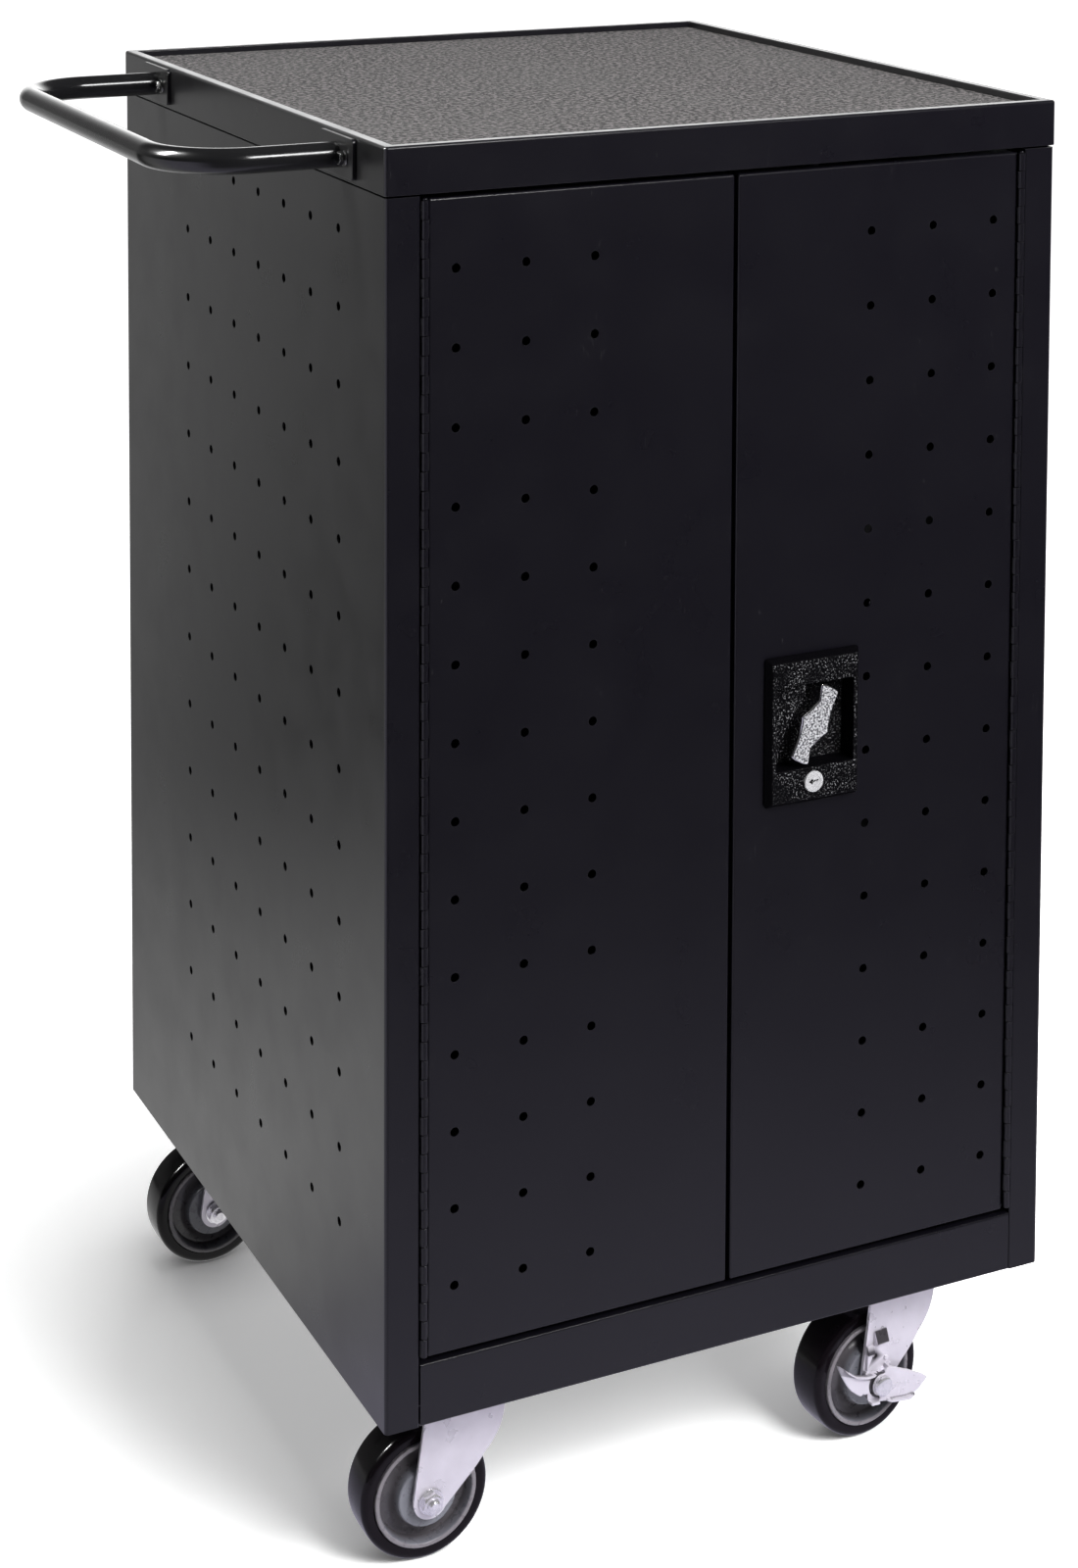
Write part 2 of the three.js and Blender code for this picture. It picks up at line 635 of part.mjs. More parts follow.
addPart("push_handle", pushHandle(), FINISH.glossBlack());
for (const [index, end] of ["front", "rear"].entries()) {
  const y = HANDLE_LEGS_Y[index];
  addPart(`handle_plate_${end}`, handlePlate(y), FINISH.powderCoat());
  addPart(`handle_bolt_${end}_a`, handleBolt(y - HANDLE_BOLT_OFFSET), FINISH.glossBlack());
  addPart(`handle_bolt_${end}_b`, handleBolt(y + HANDLE_BOLT_OFFSET), FINISH.glossBlack());
}

// ---- casters, each drawn about its own swivel axis with the axle trailing towards -X ----

const AXLE_X = -WHEEL_TRAIL;

function casterPlate() {
  const { length, width, thickness } = CASTER_PLATE;
  const top = CABINET_Z - GAP;
  const bottom = top - thickness;
  const plate = box(-length / 2, length / 2, -width / 2, width / 2, bottom, top);
  const race = rodZ(27, FORK_CROWN_Z + GAP, bottom + 0.01, 0, 0, 16, 24);
  const kingpin = rodZ(6, 110, bottom, 0, 0, 12);
  const rivetHead = rodZ(10, 109, FORK_CROWN_Z - FORK_T - GAP, 0, 0, 12);
  return join(plate, race, kingpin, rivetHead);
}

// One fork leg in side view, measured from the axle: round foot, raked front edge, upright rear edge.
function forkLegOutline() {
  const top = FORK_CROWN_Z - WHEEL_R;
  const footR = 13.5;
  const shape = new THREE.Shape();
  shape.moveTo(-4, top);
  shape.lineTo(-footR, 1);
  shape.absarc(0, -0.5, footR, Math.PI, 2 * Math.PI - 0.5, false);
  shape.lineTo(29, 10);
  shape.lineTo(44, 27);
  shape.quadraticCurveTo(60, 42, 60, top);
  return shape;
}

function fork() {
  const inner = FORK_HALF_W - FORK_T;
  const toAxle = [AXLE_X, 0, WHEEL_R];
  const leg = () => forkLegOutline();
  const nearLeg = thickenFront(leg(), -FORK_HALF_W, -inner, 3).translate(toAxle);
  const farLeg = thickenFront(leg(), inner, FORK_HALF_W, 3).translate(toAxle);
  const crownZ = FORK_CROWN_Z - FORK_T;
  const bridge = box(AXLE_X - 4, AXLE_X + 60, -inner - 0.01, inner + 0.01, crownZ, FORK_CROWN_Z);
  const crown = rodZ(30, crownZ, FORK_CROWN_Z, 0, 0, 16);
  const pinHole = rodZ(6.6, crownZ - 1, FORK_CROWN_Z + 1, 0, 0, 12);
  const axleHole = rodY(AXLE_R + 0.4, -FORK_HALF_W - 1, FORK_HALF_W + 1, AXLE_X, WHEEL_R, 12);
  return cut(join(nearLeg, farLeg, bridge, crown), pinHole, axleHole);
}

function axle(braked) {
  const brakeStack = BRAKE_PLATE_T + PEDAL_DEPTH + 2 * GAP;
  const nearNut = FORK_HALF_W + GAP + (braked ? brakeStack : 0);
  const tip = braked ? nearNut + 3 : nearNut + 10;
  const spacer = FORK_HALF_W - FORK_T - GAP;
  const parts = [
    rodY(AXLE_R, -tip, FORK_HALF_W + 1, 0, 0, 12),
    rodY(5.7, -spacer, spacer, 0, 0, 12),
    rodY(8.6, FORK_HALF_W + GAP, FORK_HALF_W + 6.5, 0, 0, 6),
  ];
  if (braked) {
    parts.push(rodY(8, -nearNut - 3.6, -nearNut, 0, 0, 12));
  } else {
    parts.push(rodY(8.6, -nearNut - 6.5, -nearNut, 0, 0, 6));
  }
  return join(...parts).translate([AXLE_X, 0, WHEEL_R]);
}

function tyre() {
  const w = WHEEL_HALF_W;
  const half = [[41.1, -w + 0.5], [46.5, -w], [WHEEL_R, -w + 4.8]];
  const otherHalf = half.map(([radius, y]) => [radius, -y]).reverse();
  return turn([...half, ...otherHalf], 24).translate([AXLE_X, 0, WHEEL_R]);
}

function hub() {
  const half = [[6.1, -20], [22.5, -20], [24.8, -8.5], [34.9, -8.5], [37, -17.4], [40.4, -17.8]];
  const otherHalf = half.map(([radius, y]) => [radius, -y]).reverse();
  return turn([...half, ...otherHalf], 14).translate([AXLE_X, 0, WHEEL_R]);
}

// Brake plate on the outside of the near fork leg. Its square tab has a lip bent outwards at the bottom.
function brakePlate() {
  const y1 = -FORK_HALF_W - GAP;
  const shape = outline([
    [-12, -6], [6, -6], [12, 8], [12, 38], [-1, 38], [-1, 29], [-3, 27], [-9, 28], [-9.5, 12],
  ]);
  const plate = thickenFront(shape, y1 - BRAKE_PLATE_T, y1);
  const lip = box(-1, 12, y1 - 5, y1 - 0.01, 27, 29);
  const axleHole = rodY(AXLE_R + 0.4, y1 - 4, y1 + 1, 0, 0, 12);
  return cut(join(plate, lip), axleHole).translate([AXLE_X, 0, WHEEL_R]);
}

// Two-winged foot pedal that turns on the axle bolt.
function brakePedal() {
  const back = -FORK_HALF_W - 2 * GAP - BRAKE_PLATE_T;
  const front = back - PEDAL_DEPTH;
  const shape = outline([
    [-42, 26.3], [-36, 13.2], [-28.5, 2.2], [-22.6, -2.6], [-16, -4], [-11.6, -10.5], [3, -12.6],
    [28, -19.5], [40, -17], [50, -11], [37, -1], [27, 6], [7, 14], [-5, 9.6], [-25, 14],
  ]);
  const wings = thickenFront(shape, front, front + 2);
  const boss = rodY(8, front, back, 0, 0, 12);
  const lip = box(-24, -6, front, back - 1, 9.4, 11.4);
  const bore = rodY(AXLE_R + 0.35, front - 1, back + 1, 0, 0, 12);
  return cut(join(wings, boss, lip), bore).translate([AXLE_X, 0, WHEEL_R]);
}

function addCaster({ label, x, y, restDegrees, braked }) {
  const group = new THREE.Group();
  group.position.set(x, y, 0);
  group.rotation.z = THREE.MathUtils.degToRad(restDegrees);
  addPart(`${label}_plate`, casterPlate(), FINISH.zinc(), group);
  addPart(`${label}_fork`, fork(), FINISH.zinc(), group);
  addPart(`${label}_axle`, axle(braked), FINISH.zinc(), group);
  addPart(`${label}_tyre`, tyre(), FINISH.tyre(), group);
  addPart(`${label}_hub`, hub(), FINISH.hub(), group);
  if (braked) {
    addPart(`${label}_brake_plate`, brakePlate(), FINISH.zinc(), group);
    addPart(`${label}_brake_pedal`, brakePedal(), FINISH.zinc(), group);
  }
  cart.add(group);
}

for (const caster of CASTERS) {
  addCaster(caster);
}

// ---- origin ----

const LEFTMOST_X = -HANDLE_REACH - HANDLE_R;
const RIGHTMOST_X = CABINET_W + TRAY_OVERHANG;
const FOREMOST_Y = PLATE_FACE_Y - 1.6;
const REARMOST_Y = CABINET_D + TRAY_OVERHANG;
cart.position.set(-(LEFTMOST_X + RIGHTMOST_X) / 2, -(FOREMOST_Y + REARMOST_Y) / 2, 0);

export default cart;
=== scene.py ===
"""Looks of the ventilated two-door tool cart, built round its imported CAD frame.

Pieces are drawn in millimetres from the cabinet's front left corner at floor level, as the CAD is.
put() turns them into metres in the row frame. Each piece stands for one CAD node and rides on its body.
"""

import json
import math

import bmesh
import bpy
from mathutils import Matrix, Vector, noise


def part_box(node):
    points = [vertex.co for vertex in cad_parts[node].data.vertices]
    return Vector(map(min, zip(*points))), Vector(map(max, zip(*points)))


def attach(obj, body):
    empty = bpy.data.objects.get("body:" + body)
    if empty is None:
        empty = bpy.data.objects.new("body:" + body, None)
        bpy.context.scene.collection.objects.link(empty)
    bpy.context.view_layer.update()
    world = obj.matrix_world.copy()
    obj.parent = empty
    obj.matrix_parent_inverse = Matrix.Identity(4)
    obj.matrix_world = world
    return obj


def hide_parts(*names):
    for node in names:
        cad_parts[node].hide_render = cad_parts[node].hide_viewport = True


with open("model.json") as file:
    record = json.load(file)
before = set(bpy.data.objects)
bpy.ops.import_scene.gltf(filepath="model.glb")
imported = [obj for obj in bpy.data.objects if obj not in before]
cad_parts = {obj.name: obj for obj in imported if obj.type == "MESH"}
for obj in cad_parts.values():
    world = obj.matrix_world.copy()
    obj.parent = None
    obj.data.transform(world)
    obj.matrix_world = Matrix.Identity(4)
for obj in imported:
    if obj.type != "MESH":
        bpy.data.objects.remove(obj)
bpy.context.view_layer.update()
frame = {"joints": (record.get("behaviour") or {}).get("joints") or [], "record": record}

MM = 0.001
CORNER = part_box("left_side_panel")[0]
ORIGIN = Vector((CORNER.x, CORNER.y, 0))
BODY_OF = {node: body for body, nodes in frame["record"]["behaviour"]["bodies"].items() for node in nodes}
SLOT_OF = {part["node"]: part["material_slot"] for part in frame["record"]["subparts"]}


def to_mm(point):
    return (Vector(point) - ORIGIN) / MM


def cad(node):
    """Lowest and highest corner of a CAD node, in drawing millimetres."""
    low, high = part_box(node)
    return to_mm(low), to_mm(high)


def joint(name):
    """Where a joint's axis passes, in drawing millimetres."""
    return to_mm(next(j for j in frame["joints"] if j["name"] == name)["pos_m"])


# ---------------------------------------------------------------- materials


class Look:
    """A Principled material with short calls for adding and linking nodes."""

    def __init__(self, name):
        self.material = bpy.data.materials.new(name)
        self.material.use_nodes = True
        self.tree = self.material.node_tree
        self.shader = self.tree.nodes["Principled BSDF"]
        self.coords = self.tree.nodes.new("ShaderNodeTexCoord").outputs["Object"]

    def add(self, kind, inputs=None, **settings):
        node = self.tree.nodes.new(kind)
        for key, value in settings.items():
            setattr(node, key, value)
        for key, value in (inputs or {}).items():
            self.feed(node.inputs[key], value)
        return node

    def feed(self, socket, value):
        if isinstance(value, bpy.types.NodeSocket):
            self.tree.links.new(value, socket)
        else:
            socket.default_value = value

    def noise(self, size_mm, detail=3.0, stretch=(1, 1, 1)):
        """Noise whose features are about size_mm across, from 0 to 1."""
        mapping = self.add("ShaderNodeMapping", {"Vector": self.coords, "Scale": stretch})
        texture = self.add("ShaderNodeTexNoise", {
            "Vector": mapping.outputs["Vector"], "Scale": 1 / (size_mm * MM), "Detail": detail,
        })
        return texture.outputs["Fac"]

    def cells(self, size_mm, feature="F1"):
        texture = self.add("ShaderNodeTexVoronoi", {
            "Vector": self.coords, "Scale": 1 / (size_mm * MM),
        }, feature=feature)
        return texture.outputs["Distance"]

    def remap(self, value, low, high, out_low, out_high):
        node = self.add("ShaderNodeMapRange", {
            "Value": value, "From Min": low, "From Max": high, "To Min": out_low, "To Max": out_high,
        })
        return node.outputs["Result"]

    def mix(self, share, first, second):
        node = self.add("ShaderNodeMix", data_type="RGBA")
        for index, value in ((0, share), (6, first), (7, second)):
            self.feed(node.inputs[index], value)
        return node.outputs[2]

    def math(self, operation, first, second):
        node = self.add("ShaderNodeMath", {0: first, 1: second}, operation=operation)
        return node.outputs[0]

    def bump(self, height, depth_mm, strength=1.0, under=None):
        inputs = {"Height": height, "Distance": depth_mm * MM, "Strength": strength}
        if under is not None:
            inputs["Normal"] = under
        return self.add("ShaderNodeBump", inputs).outputs["Normal"]

    def edges(self, radius_mm):
        """1 along sharp convex and concave edges, 0 on flat faces."""
        rounded = self.add("ShaderNodeBevel", {"Radius": radius_mm * MM}, samples=4).outputs["Normal"]
        flat = self.add("ShaderNodeNewGeometry").outputs["Normal"]
        dot = self.add("ShaderNodeVectorMath", {0: rounded, 1: flat}, operation="DOT_PRODUCT")
        return self.remap(dot.outputs["Value"], 0.995, 0.8, 0.0, 1.0)

    def scratches(self, size_mm):
        """Sparse fine marks, 1 on a mark."""
        streak = self.noise(size_mm, 2.0, (1, 1, 0.06))
        patch = self.noise(size_mm * 40, 1.0)
        return self.math("MULTIPLY", self.remap(streak, 0.68, 0.72, 0, 1), self.remap(patch, 0.55, 0.7, 0, 1))

    def attribute(self, name):
        return self.add("ShaderNodeAttribute", attribute_name=name).outputs["Fac"]

    def front(self, start):
        """1 on faces that look along Y, 0 on the rest."""
        facing = self.add("ShaderNodeNewGeometry").outputs["True Normal"]
        forward = self.add("ShaderNodeSeparateXYZ", {"Vector": facing}).outputs["Y"]
        return self.remap(self.math("ABSOLUTE", forward, 0), start, 0.97, 0, 1)

    def set(self, **values):
        for name, value in values.items():
            self.feed(self.shader.inputs[name.replace("_", " ").title().replace("Ior", "IOR")], value)
        return self


def grey(value, blue=1.0):
    return (value, value, value * blue, 1)


def powder_coat():
    look = Look("powder_coat")
    edge = look.edges(0.6)
    marks = look.scratches(0.5)
    cloud = look.mix(look.noise(90, 2.0), (0.0024, 0.0021, 0.0036, 1), (0.0036, 0.0033, 0.0050, 1))
    wear_and_glint_patches = look.mix(look.math("MULTIPLY", edge, look.noise(6)), cloud, grey(0.02, 1.05))
    look.set(
        base_color=look.mix(look.math("MULTIPLY", marks, 0.4), wear_and_glint_patches, grey(0.05)),
        roughness=look.math("ADD", look.remap(look.noise(45, 4.0), 0.3, 0.7, 0.27, 0.34),
                            look.math("MULTIPLY", marks, 0.15)),
        normal=look.bump(look.noise(0.35, 2.0), 0.004, 1.0, look.bump(look.noise(1.3, 2.0), 0.012)),
        specular_ior_level=0.5,
    )
    return look.material


def gloss_black():
    look = Look("gloss_black")
    look.set(
        # painted highlight: the colour is lighter along every edge
        base_color=look.mix(look.edges(0.5), grey(0.005, 1.1), grey(0.02)),
        roughness=look.remap(look.noise(20, 4.0), 0.3, 0.7, 0.13, 0.2),
        normal=look.bump(look.noise(2.2, 2.0), 0.012),
    )
    return look.material


def cast_black():
    """Black casting. Painted glints fleck its grain on faces that look forward, and its bevels stay dark."""
    look = Look("lock_black")
    front = look.front(0.86)
    grain = look.noise(2.0, 2.0)
    # patches of painted glint: light specks in the colour of forward faces
    wear_and_glint_patches = look.math("MULTIPLY", front, look.remap(look.noise(14, 2.0), 0.38, 0.6, 0.15, 1))
    painted_glint = look.math("MULTIPLY", wear_and_glint_patches, look.remap(look.noise(1.3, 1.0), 0.58, 0.68, 0, 1))
    look.set(
        base_color=look.mix(painted_glint, (0.0012, 0.0011, 0.0015, 1), grey(0.13, 1.05)),
        roughness=look.remap(grain, 0.3, 0.7, 0.35, 0.5),
        normal=look.bump(grain, 0.3, 1.0, look.bump(look.noise(0.8, 2.0), 0.1)),
        specular_ior_level=look.remap(front, 0, 1, 0.02, 0.1),
    )
    return look.material


def tray_mat():
    look = Look("mat")
    fleck = look.noise(4.0, 3.0)
    crumb = look.cells(3.0)
    tone = look.mix(look.remap(fleck, 0.46, 0.54, 0, 1), grey(0.002), (0.118, 0.107, 0.108, 1))
    toned = look.mix(look.remap(crumb, 0.35, 0.75, 0.0, 0.7), tone, grey(0.03))
    look.set(
        base_color=look.mix(look.remap(look.noise(120, 2.0), 0.4, 0.65, 0, 0.2), toned, grey(0.06, 0.97)),
        roughness=look.remap(fleck, 0.3, 0.7, 0.85, 0.98),
        normal=look.bump(crumb, 0.5, 1.0, look.bump(fleck, 0.5)),
        specular_ior_level=0.25,
    )
    return look.material


def chrome():
    """Bright plating. Faces that look forward are hammered, with a painted sparkle of dark and bright flecks
    in their colour.
    """
    look = Look("chrome")
    front = look.front(0.85)
    painted_glint = look.remap(look.noise(1.6, 1.0), 0.40, 0.60, 0, 1)
    # painted sparkle: dark and bright flecks in the colour of the hammered faces
    painted_sparkle_colour = look.mix(painted_glint, grey(0.07, 1.1), grey(0.62, 1.04))
    look.set(
        base_color=look.mix(front, grey(0.95), painted_sparkle_colour),
        metallic=look.remap(front, 0, 1, 1.0, 0.5),
        roughness=look.remap(front, 0, 1, 0.14, 0.35),
        normal=look.bump(look.noise(1.6, 1.0), 0.5, look.remap(front, 0, 1, 0.0, 1.0)),
    )
    return look.material


def zinc():
    look = Look("zinc")
    cloud = look.noise(14, 5.0)
    unshaded = look.mix(cloud, (0.50, 0.475, 0.53, 1), (0.66, 0.63, 0.70, 1))
    # painted shade, darkening the zinc where the piece's vertices are marked
    painted_shade = look.attribute("painted_shade")
    look.set(
        base_color=look.mix(painted_shade, unshaded, (0.055, 0.050, 0.058, 1)),
        metallic=0.45,
        roughness=look.math("ADD", look.remap(cloud, 0.3, 0.7, 0.25, 0.37),
                            look.math("MULTIPLY", look.scratches(0.4), 0.2)),
        normal=look.bump(look.noise(0.5, 3.0, (1, 1, 0.2)), 0.006, 1.0, look.bump(look.noise(3, 2.0), 0.02)),
    )
    return look.material


def tyre():
    look = Look("tyre")
    look.set(
        base_color=look.mix(look.noise(12, 3.0), (0.0022, 0.0014, 0.0022, 1), (0.0050, 0.0034, 0.0048, 1)),
        roughness=look.remap(look.noise(9, 5.0), 0.3, 0.75, 0.16, 0.3),
        normal=look.bump(look.noise(4, 3.0), 0.02, 1.0, look.bump(look.noise(0.6), 0.003)),
        specular_ior_level=0.1,
        coat_weight=0.15,
        coat_roughness=0.05,
    )
    return look.material


def hub_plastic():
    look = Look("hub")
    tone = look.attribute("tone")
    cloud = look.noise(10, 4.0)
    # dish: painted shade, the recessed dish of the same plastic darker than the proud ring and boss
    dish = look.mix(cloud, (0.045, 0.041, 0.046, 1), (0.07, 0.064, 0.072, 1))
    proud = look.mix(cloud, (0.125, 0.115, 0.13, 1), (0.175, 0.162, 0.18, 1))
    boss = look.mix(cloud, (0.11, 0.112, 0.13, 1), (0.155, 0.158, 0.185, 1))
    raised = look.mix(look.remap(tone, 0.8, 1.0, 0, 1), boss, proud)
    look.set(
        base_color=look.mix(look.remap(tone, 0, 0.8, 0, 1), dish, raised),
        roughness=look.remap(look.noise(5, 4.0), 0.3, 0.7, 0.24, 0.36),
        normal=look.bump(look.noise(0.8, 3.0), 0.012),
    )
    return look.material


def bright_zinc():
    """Nuts and bolts, brighter and sharper than the pressed sheet."""
    look = Look("bright_zinc")
    look.set(
        base_color=look.mix(look.noise(2.5, 4.0), (0.55, 0.54, 0.58, 1), (0.95, 0.93, 0.97, 1)),
        metallic=0.8,
        roughness=look.remap(look.noise(1.5, 3.0), 0.3, 0.7, 0.1, 0.26),
        normal=look.bump(look.noise(1.2, 3.0), 0.03),
    )
    return look.material


def key_metal():
    look = Look("key_metal")
    # painted shade, darkening the metal where the piece's vertices are marked
    painted_shade = look.attribute("painted_shade")
    bright = look.mix(look.noise(6, 4.0), grey(0.36, 1.03), grey(0.55, 1.03))
    look.set(
        base_color=look.mix(painted_shade, bright, grey(0.01)),
        metallic=0.4,
        roughness=look.remap(look.noise(3, 4.0), 0.3, 0.7, 0.2, 0.35),
        normal=look.bump(look.noise(2.0, 3.0), 0.02),
    )
    return look.material


def black_steel():
    """Blackened bolts with a painted highlight along their edges."""
    look = Look("black_steel")
    plain = look.mix(look.noise(2.5, 3.0), grey(0.03), grey(0.12))
    look.set(
        # painted highlight: the colour turns light grey along the edges
        base_color=look.mix(look.edges(0.5), plain, grey(0.6)),
        metallic=1.0,
        roughness=look.remap(look.noise(1.5, 3.0), 0.3, 0.7, 0.1, 0.22),
        normal=look.bump(look.noise(1.5, 3.0), 0.03),
    )
    return look.material


LOOKS = {
    "fastener": bright_zinc(), "key": key_metal(), "black_steel": black_steel(),
    "powder_coat": powder_coat(), "gloss_black": gloss_black(), "lock_black": cast_black(),
    "mat": tray_mat(), "chrome": chrome(), "zinc": zinc(), "tyre": tyre(), "hub": hub_plastic(),
}

# ---------------------------------------------------------------- outlines and solids, as bmesh


def arc(cx, cy, radius, start, end, steps):
    """Points along a circular arc, angles in degrees."""
    turn = [math.radians(start + (end - start) * i / steps) for i in range(steps + 1)]
    return [(cx + radius * math.cos(a), cy + radius * math.sin(a)) for a in turn]


def curve(start, control, end, steps):
    """Points along a quadratic curve."""
    points = []
    for i in range(steps + 1):
        t = i / steps
        points.append(tuple((1 - t) ** 2 * a + 2 * t * (1 - t) * b + t * t * c
                            for a, b, c in zip(start, control, end)))
    return points


AXES = {"X": lambda u, v, w: (w, u, v), "Y": lambda u, v, w: (u, w, v), "Z": lambda u, v, w: (u, v, w)}


def loft(rings, closed=False):
    """A solid through rings with the same number of points. It is capped, or its ends are joined."""
    bm = bmesh.new()
    loops = [[bm.verts.new(point) for point in ring] for ring in rings]
    count = len(loops[0])
    following = loops[1:] + loops[:1] if closed else loops[1:]
    for below, above in zip(loops, following):
        for i in range(count):
            k = (i + 1) % count
            bm.faces.new((below[i], below[k], above[k], above[i]))
    if not closed:
        bm.faces.new(list(reversed(loops[0])))
        bm.faces.new(loops[-1])
    bmesh.ops.recalc_face_normals(bm, faces=bm.faces)
    return bm


def prism(outline, axis, low, high):
    return loft([[AXES[axis](u, v, w) for u, v in outline] for w in (low, high)])


def rounded_rect(low_u, high_u, low_v, high_v, radius, steps=5):
    points = []
    for cu, cv, start in ((high_u - radius, high_v - radius, 0), (low_u + radius, high_v - radius, 90),
                          (low_u + radius, low_v + radius, 180), (high_u - radius, low_v + radius, 270)):
        points += arc(cu, cv, radius, start, start + 90, steps)
    return points


def stepped_block(low_u, high_u, low_v, high_v, stations, axis, corner, closed=False):
    """A solid of rounded rectangles. stations are (inset, height along the axis)."""
    rings = []
    for inset, w in stations:
        radius = max(corner - inset, 0.2)
        ring = rounded_rect(low_u + inset, high_u - inset, low_v + inset, high_v - inset, radius)
        rings.append([AXES[axis](u, v, w) for u, v in ring])
    return loft(rings, closed)


def turned(profile, axis="Y", segments=64, closed=False):
    """A profile of (radius, height) turned about an axis through the origin.

    An open profile is capped at both ends. A closed one is a ring.
    """
    rings = []
    for radius, height in profile:
        ring = []
        for i in range(segments):
            a = 2 * math.pi * i / segments
            ring.append(AXES[axis](radius * math.cos(a), radius * math.sin(a), height))
        rings.append(ring)
    return loft(rings, closed)


def cylinder(radius, axis, low, high, centre=(0, 0, 0), segments=32, chamfer=0.0):
    profile = [(radius, low), (radius, high)]
    if chamfer:
        profile = [(radius - chamfer, low), (radius, low + chamfer),
                   (radius, high - chamfer), (radius - chamfer, high)]
    return moved(turned(profile, axis, segments), centre)


def block(low, high, bevel=0.0):
    outline = rounded_rect(low[0], high[0], low[1], high[1], max(bevel, 0.01), 2 if bevel else 1)
    return prism(outline, "Z", low[2], high[2])


def moved(bm, offset):
    bmesh.ops.translate(bm, verts=bm.verts, vec=Vector(offset))
    return bm


def mirrored(bm):
    """The same shape on the other side of the cabinet."""
    width = cad("right_side_panel")[1].x
    for vert in bm.verts:
        vert.co.x = width - vert.co.x
    bmesh.ops.reverse_faces(bm, faces=bm.faces)
    return bm


def gathered(shapes):
    """Several separate closed shapes in one bmesh."""
    whole = bmesh.new()
    for bm in shapes:
        mesh = bpy.data.meshes.new("gathered")
        bm.to_mesh(mesh)
        bm.free()
        whole.from_mesh(mesh)
        bpy.data.meshes.remove(mesh)
    return whole


def new_object(name, bm):
    mesh = bpy.data.meshes.new(name)
    bm.to_mesh(mesh)
    bm.free()
    obj = bpy.data.objects.new(name, mesh)
    bpy.context.scene.collection.objects.link(obj)
    return obj


def through_modifier(bm, kind, others=(), **settings):
    """bm after one modifier. others are shapes that the modifier works with, one at a time."""
    obj = new_object("scratch", bm)
    helpers = []
    for other in others or (None,):
        modifier = obj.modifiers.new(kind, kind)
        for key, value in settings.items():
            setattr(modifier, key, value)
        if other is not None:
            helper = new_object("scratch", other)
            helpers.append(helper)
            modifier.object = helper
    evaluated = obj.evaluated_get(bpy.context.evaluated_depsgraph_get())
    result = bmesh.new()
    result.from_mesh(evaluated.to_mesh())
    evaluated.to_mesh_clear()
    for item in [obj, *helpers]:
        mesh = item.data
        bpy.data.objects.remove(item)
        bpy.data.meshes.remove(mesh)
    return result


def cut(bm, *tools):
    return through_modifier(bm, "BOOLEAN", tools, operation="DIFFERENCE", solver="EXACT")


def fuse(bm, *others):
    return through_modifier(bm, "BOOLEAN", others, operation="UNION", solver="EXACT")


def common(bm, *others):
    return through_modifier(bm, "BOOLEAN", others, operation="INTERSECT", solver="EXACT")


def softened(bm, width, segments=2, angle=35):
    """Sharp edges rounded to a small radius."""
    return through_modifier(bm, "BEVEL", width=width, segments=segments, limit_method="ANGLE",
                            angle_limit=math.radians(angle), use_clamp_overlap=True)


def recast(bm, voxel, smooth_steps=2):
    """The solid remeshed into an even skin, as a casting has."""
    result = through_modifier(bm, "REMESH", mode="VOXEL", voxel_size=voxel)
    for _ in range(smooth_steps):
        bmesh.ops.smooth_vert(result, verts=result.verts, factor=0.5,
                              use_axis_x=True, use_axis_y=True, use_axis_z=True)
    return result


def mark_painted_shade(bm, where):
    """Marks the vertices of painted shade, for the zinc and key looks. where gives 0 to 1 at a point."""
    layer = bm.verts.layers.float.new("painted_shade")
    for vert in bm.verts:
        vert[layer] = where(vert.co)
    return bm


# ---------------------------------------------------------------- placing


def put(node, bm, placing=None, sharp_angle=32, look=None):
    """Makes bm the visible piece for a CAD node, on the node's body and with its slot's material."""
    if placing is not None:
        bm.transform(placing)
    bm.transform(Matrix.Translation(ORIGIN) @ Matrix.Scale(MM, 4))
    obj = new_object(f"{node}_fine", bm)
    obj.data.shade_smooth()
    obj.data.set_sharp_from_angle(angle=math.radians(sharp_angle))
    obj.modifiers.new("face normals", "WEIGHTED_NORMAL").keep_sharp = True
    obj.data.materials.append(LOOKS[look or SLOT_OF[node]])
    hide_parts(node)
    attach(obj, BODY_OF[node])
    return obj


# ---------------------------------------------------------------- cabinet

SHEET = 1.2
ROD_HOLE_R = 4.5
VENT_R = 3.5
VENT_ROWS = 14
VENT_PITCH = 57.15
SIDE_VENTS = {"first": 87.6, "pitch": 55.1, "columns": 7, "above": 116.7}
DOOR_VENTS = {"first": 54.5, "pitch": 54.9, "columns": 3, "above": 98.8}


def vent_cutters(vents, axis, low, high):
    bottom = cad("left_side_panel")[0].z + vents["above"]
    cutters = []
    for column in range(vents["columns"]):
        for row in range(VENT_ROWS):
            u = vents["first"] + column * vents["pitch"]
            v = bottom + row * VENT_PITCH
            cutters.append(cylinder(VENT_R, axis, low, high, AXES[axis](u, v, 0), 20))
    return gathered(cutters)


def side_plan(depth):
    """The bent sheet from above: stile return, stile, side wall and rear flange."""
    stile, jamb, lap, bend = cad("left_side_panel")[1].x, 22, 18, 3
    outside = [(stile, jamb)] + arc(stile - 1.6, 1.6, 1.6, 0, -90, 4)
    outside += arc(bend, bend, bend, 270, 180, 8) + arc(bend, depth - bend, bend, 180, 90, 8)
    inside = [(lap, depth), (lap, depth - SHEET)]
    inside += arc(bend, depth - bend, bend - SHEET, 90, 180, 8)
    inside += arc(bend, bend, bend - SHEET, 180, 270, 8)
    inside += arc(stile - 1.6, 1.6, 0.4, 270, 360, 4) + [(stile - SHEET, jamb)]
    return outside + inside


def side_sheet():
    low, high = cad("left_side_panel")
    sheet = prism(side_plan(high.y), "Z", low.z, high.z)
    return cut(sheet, vent_cutters(SIDE_VENTS, "X", -2, SHEET + 2))


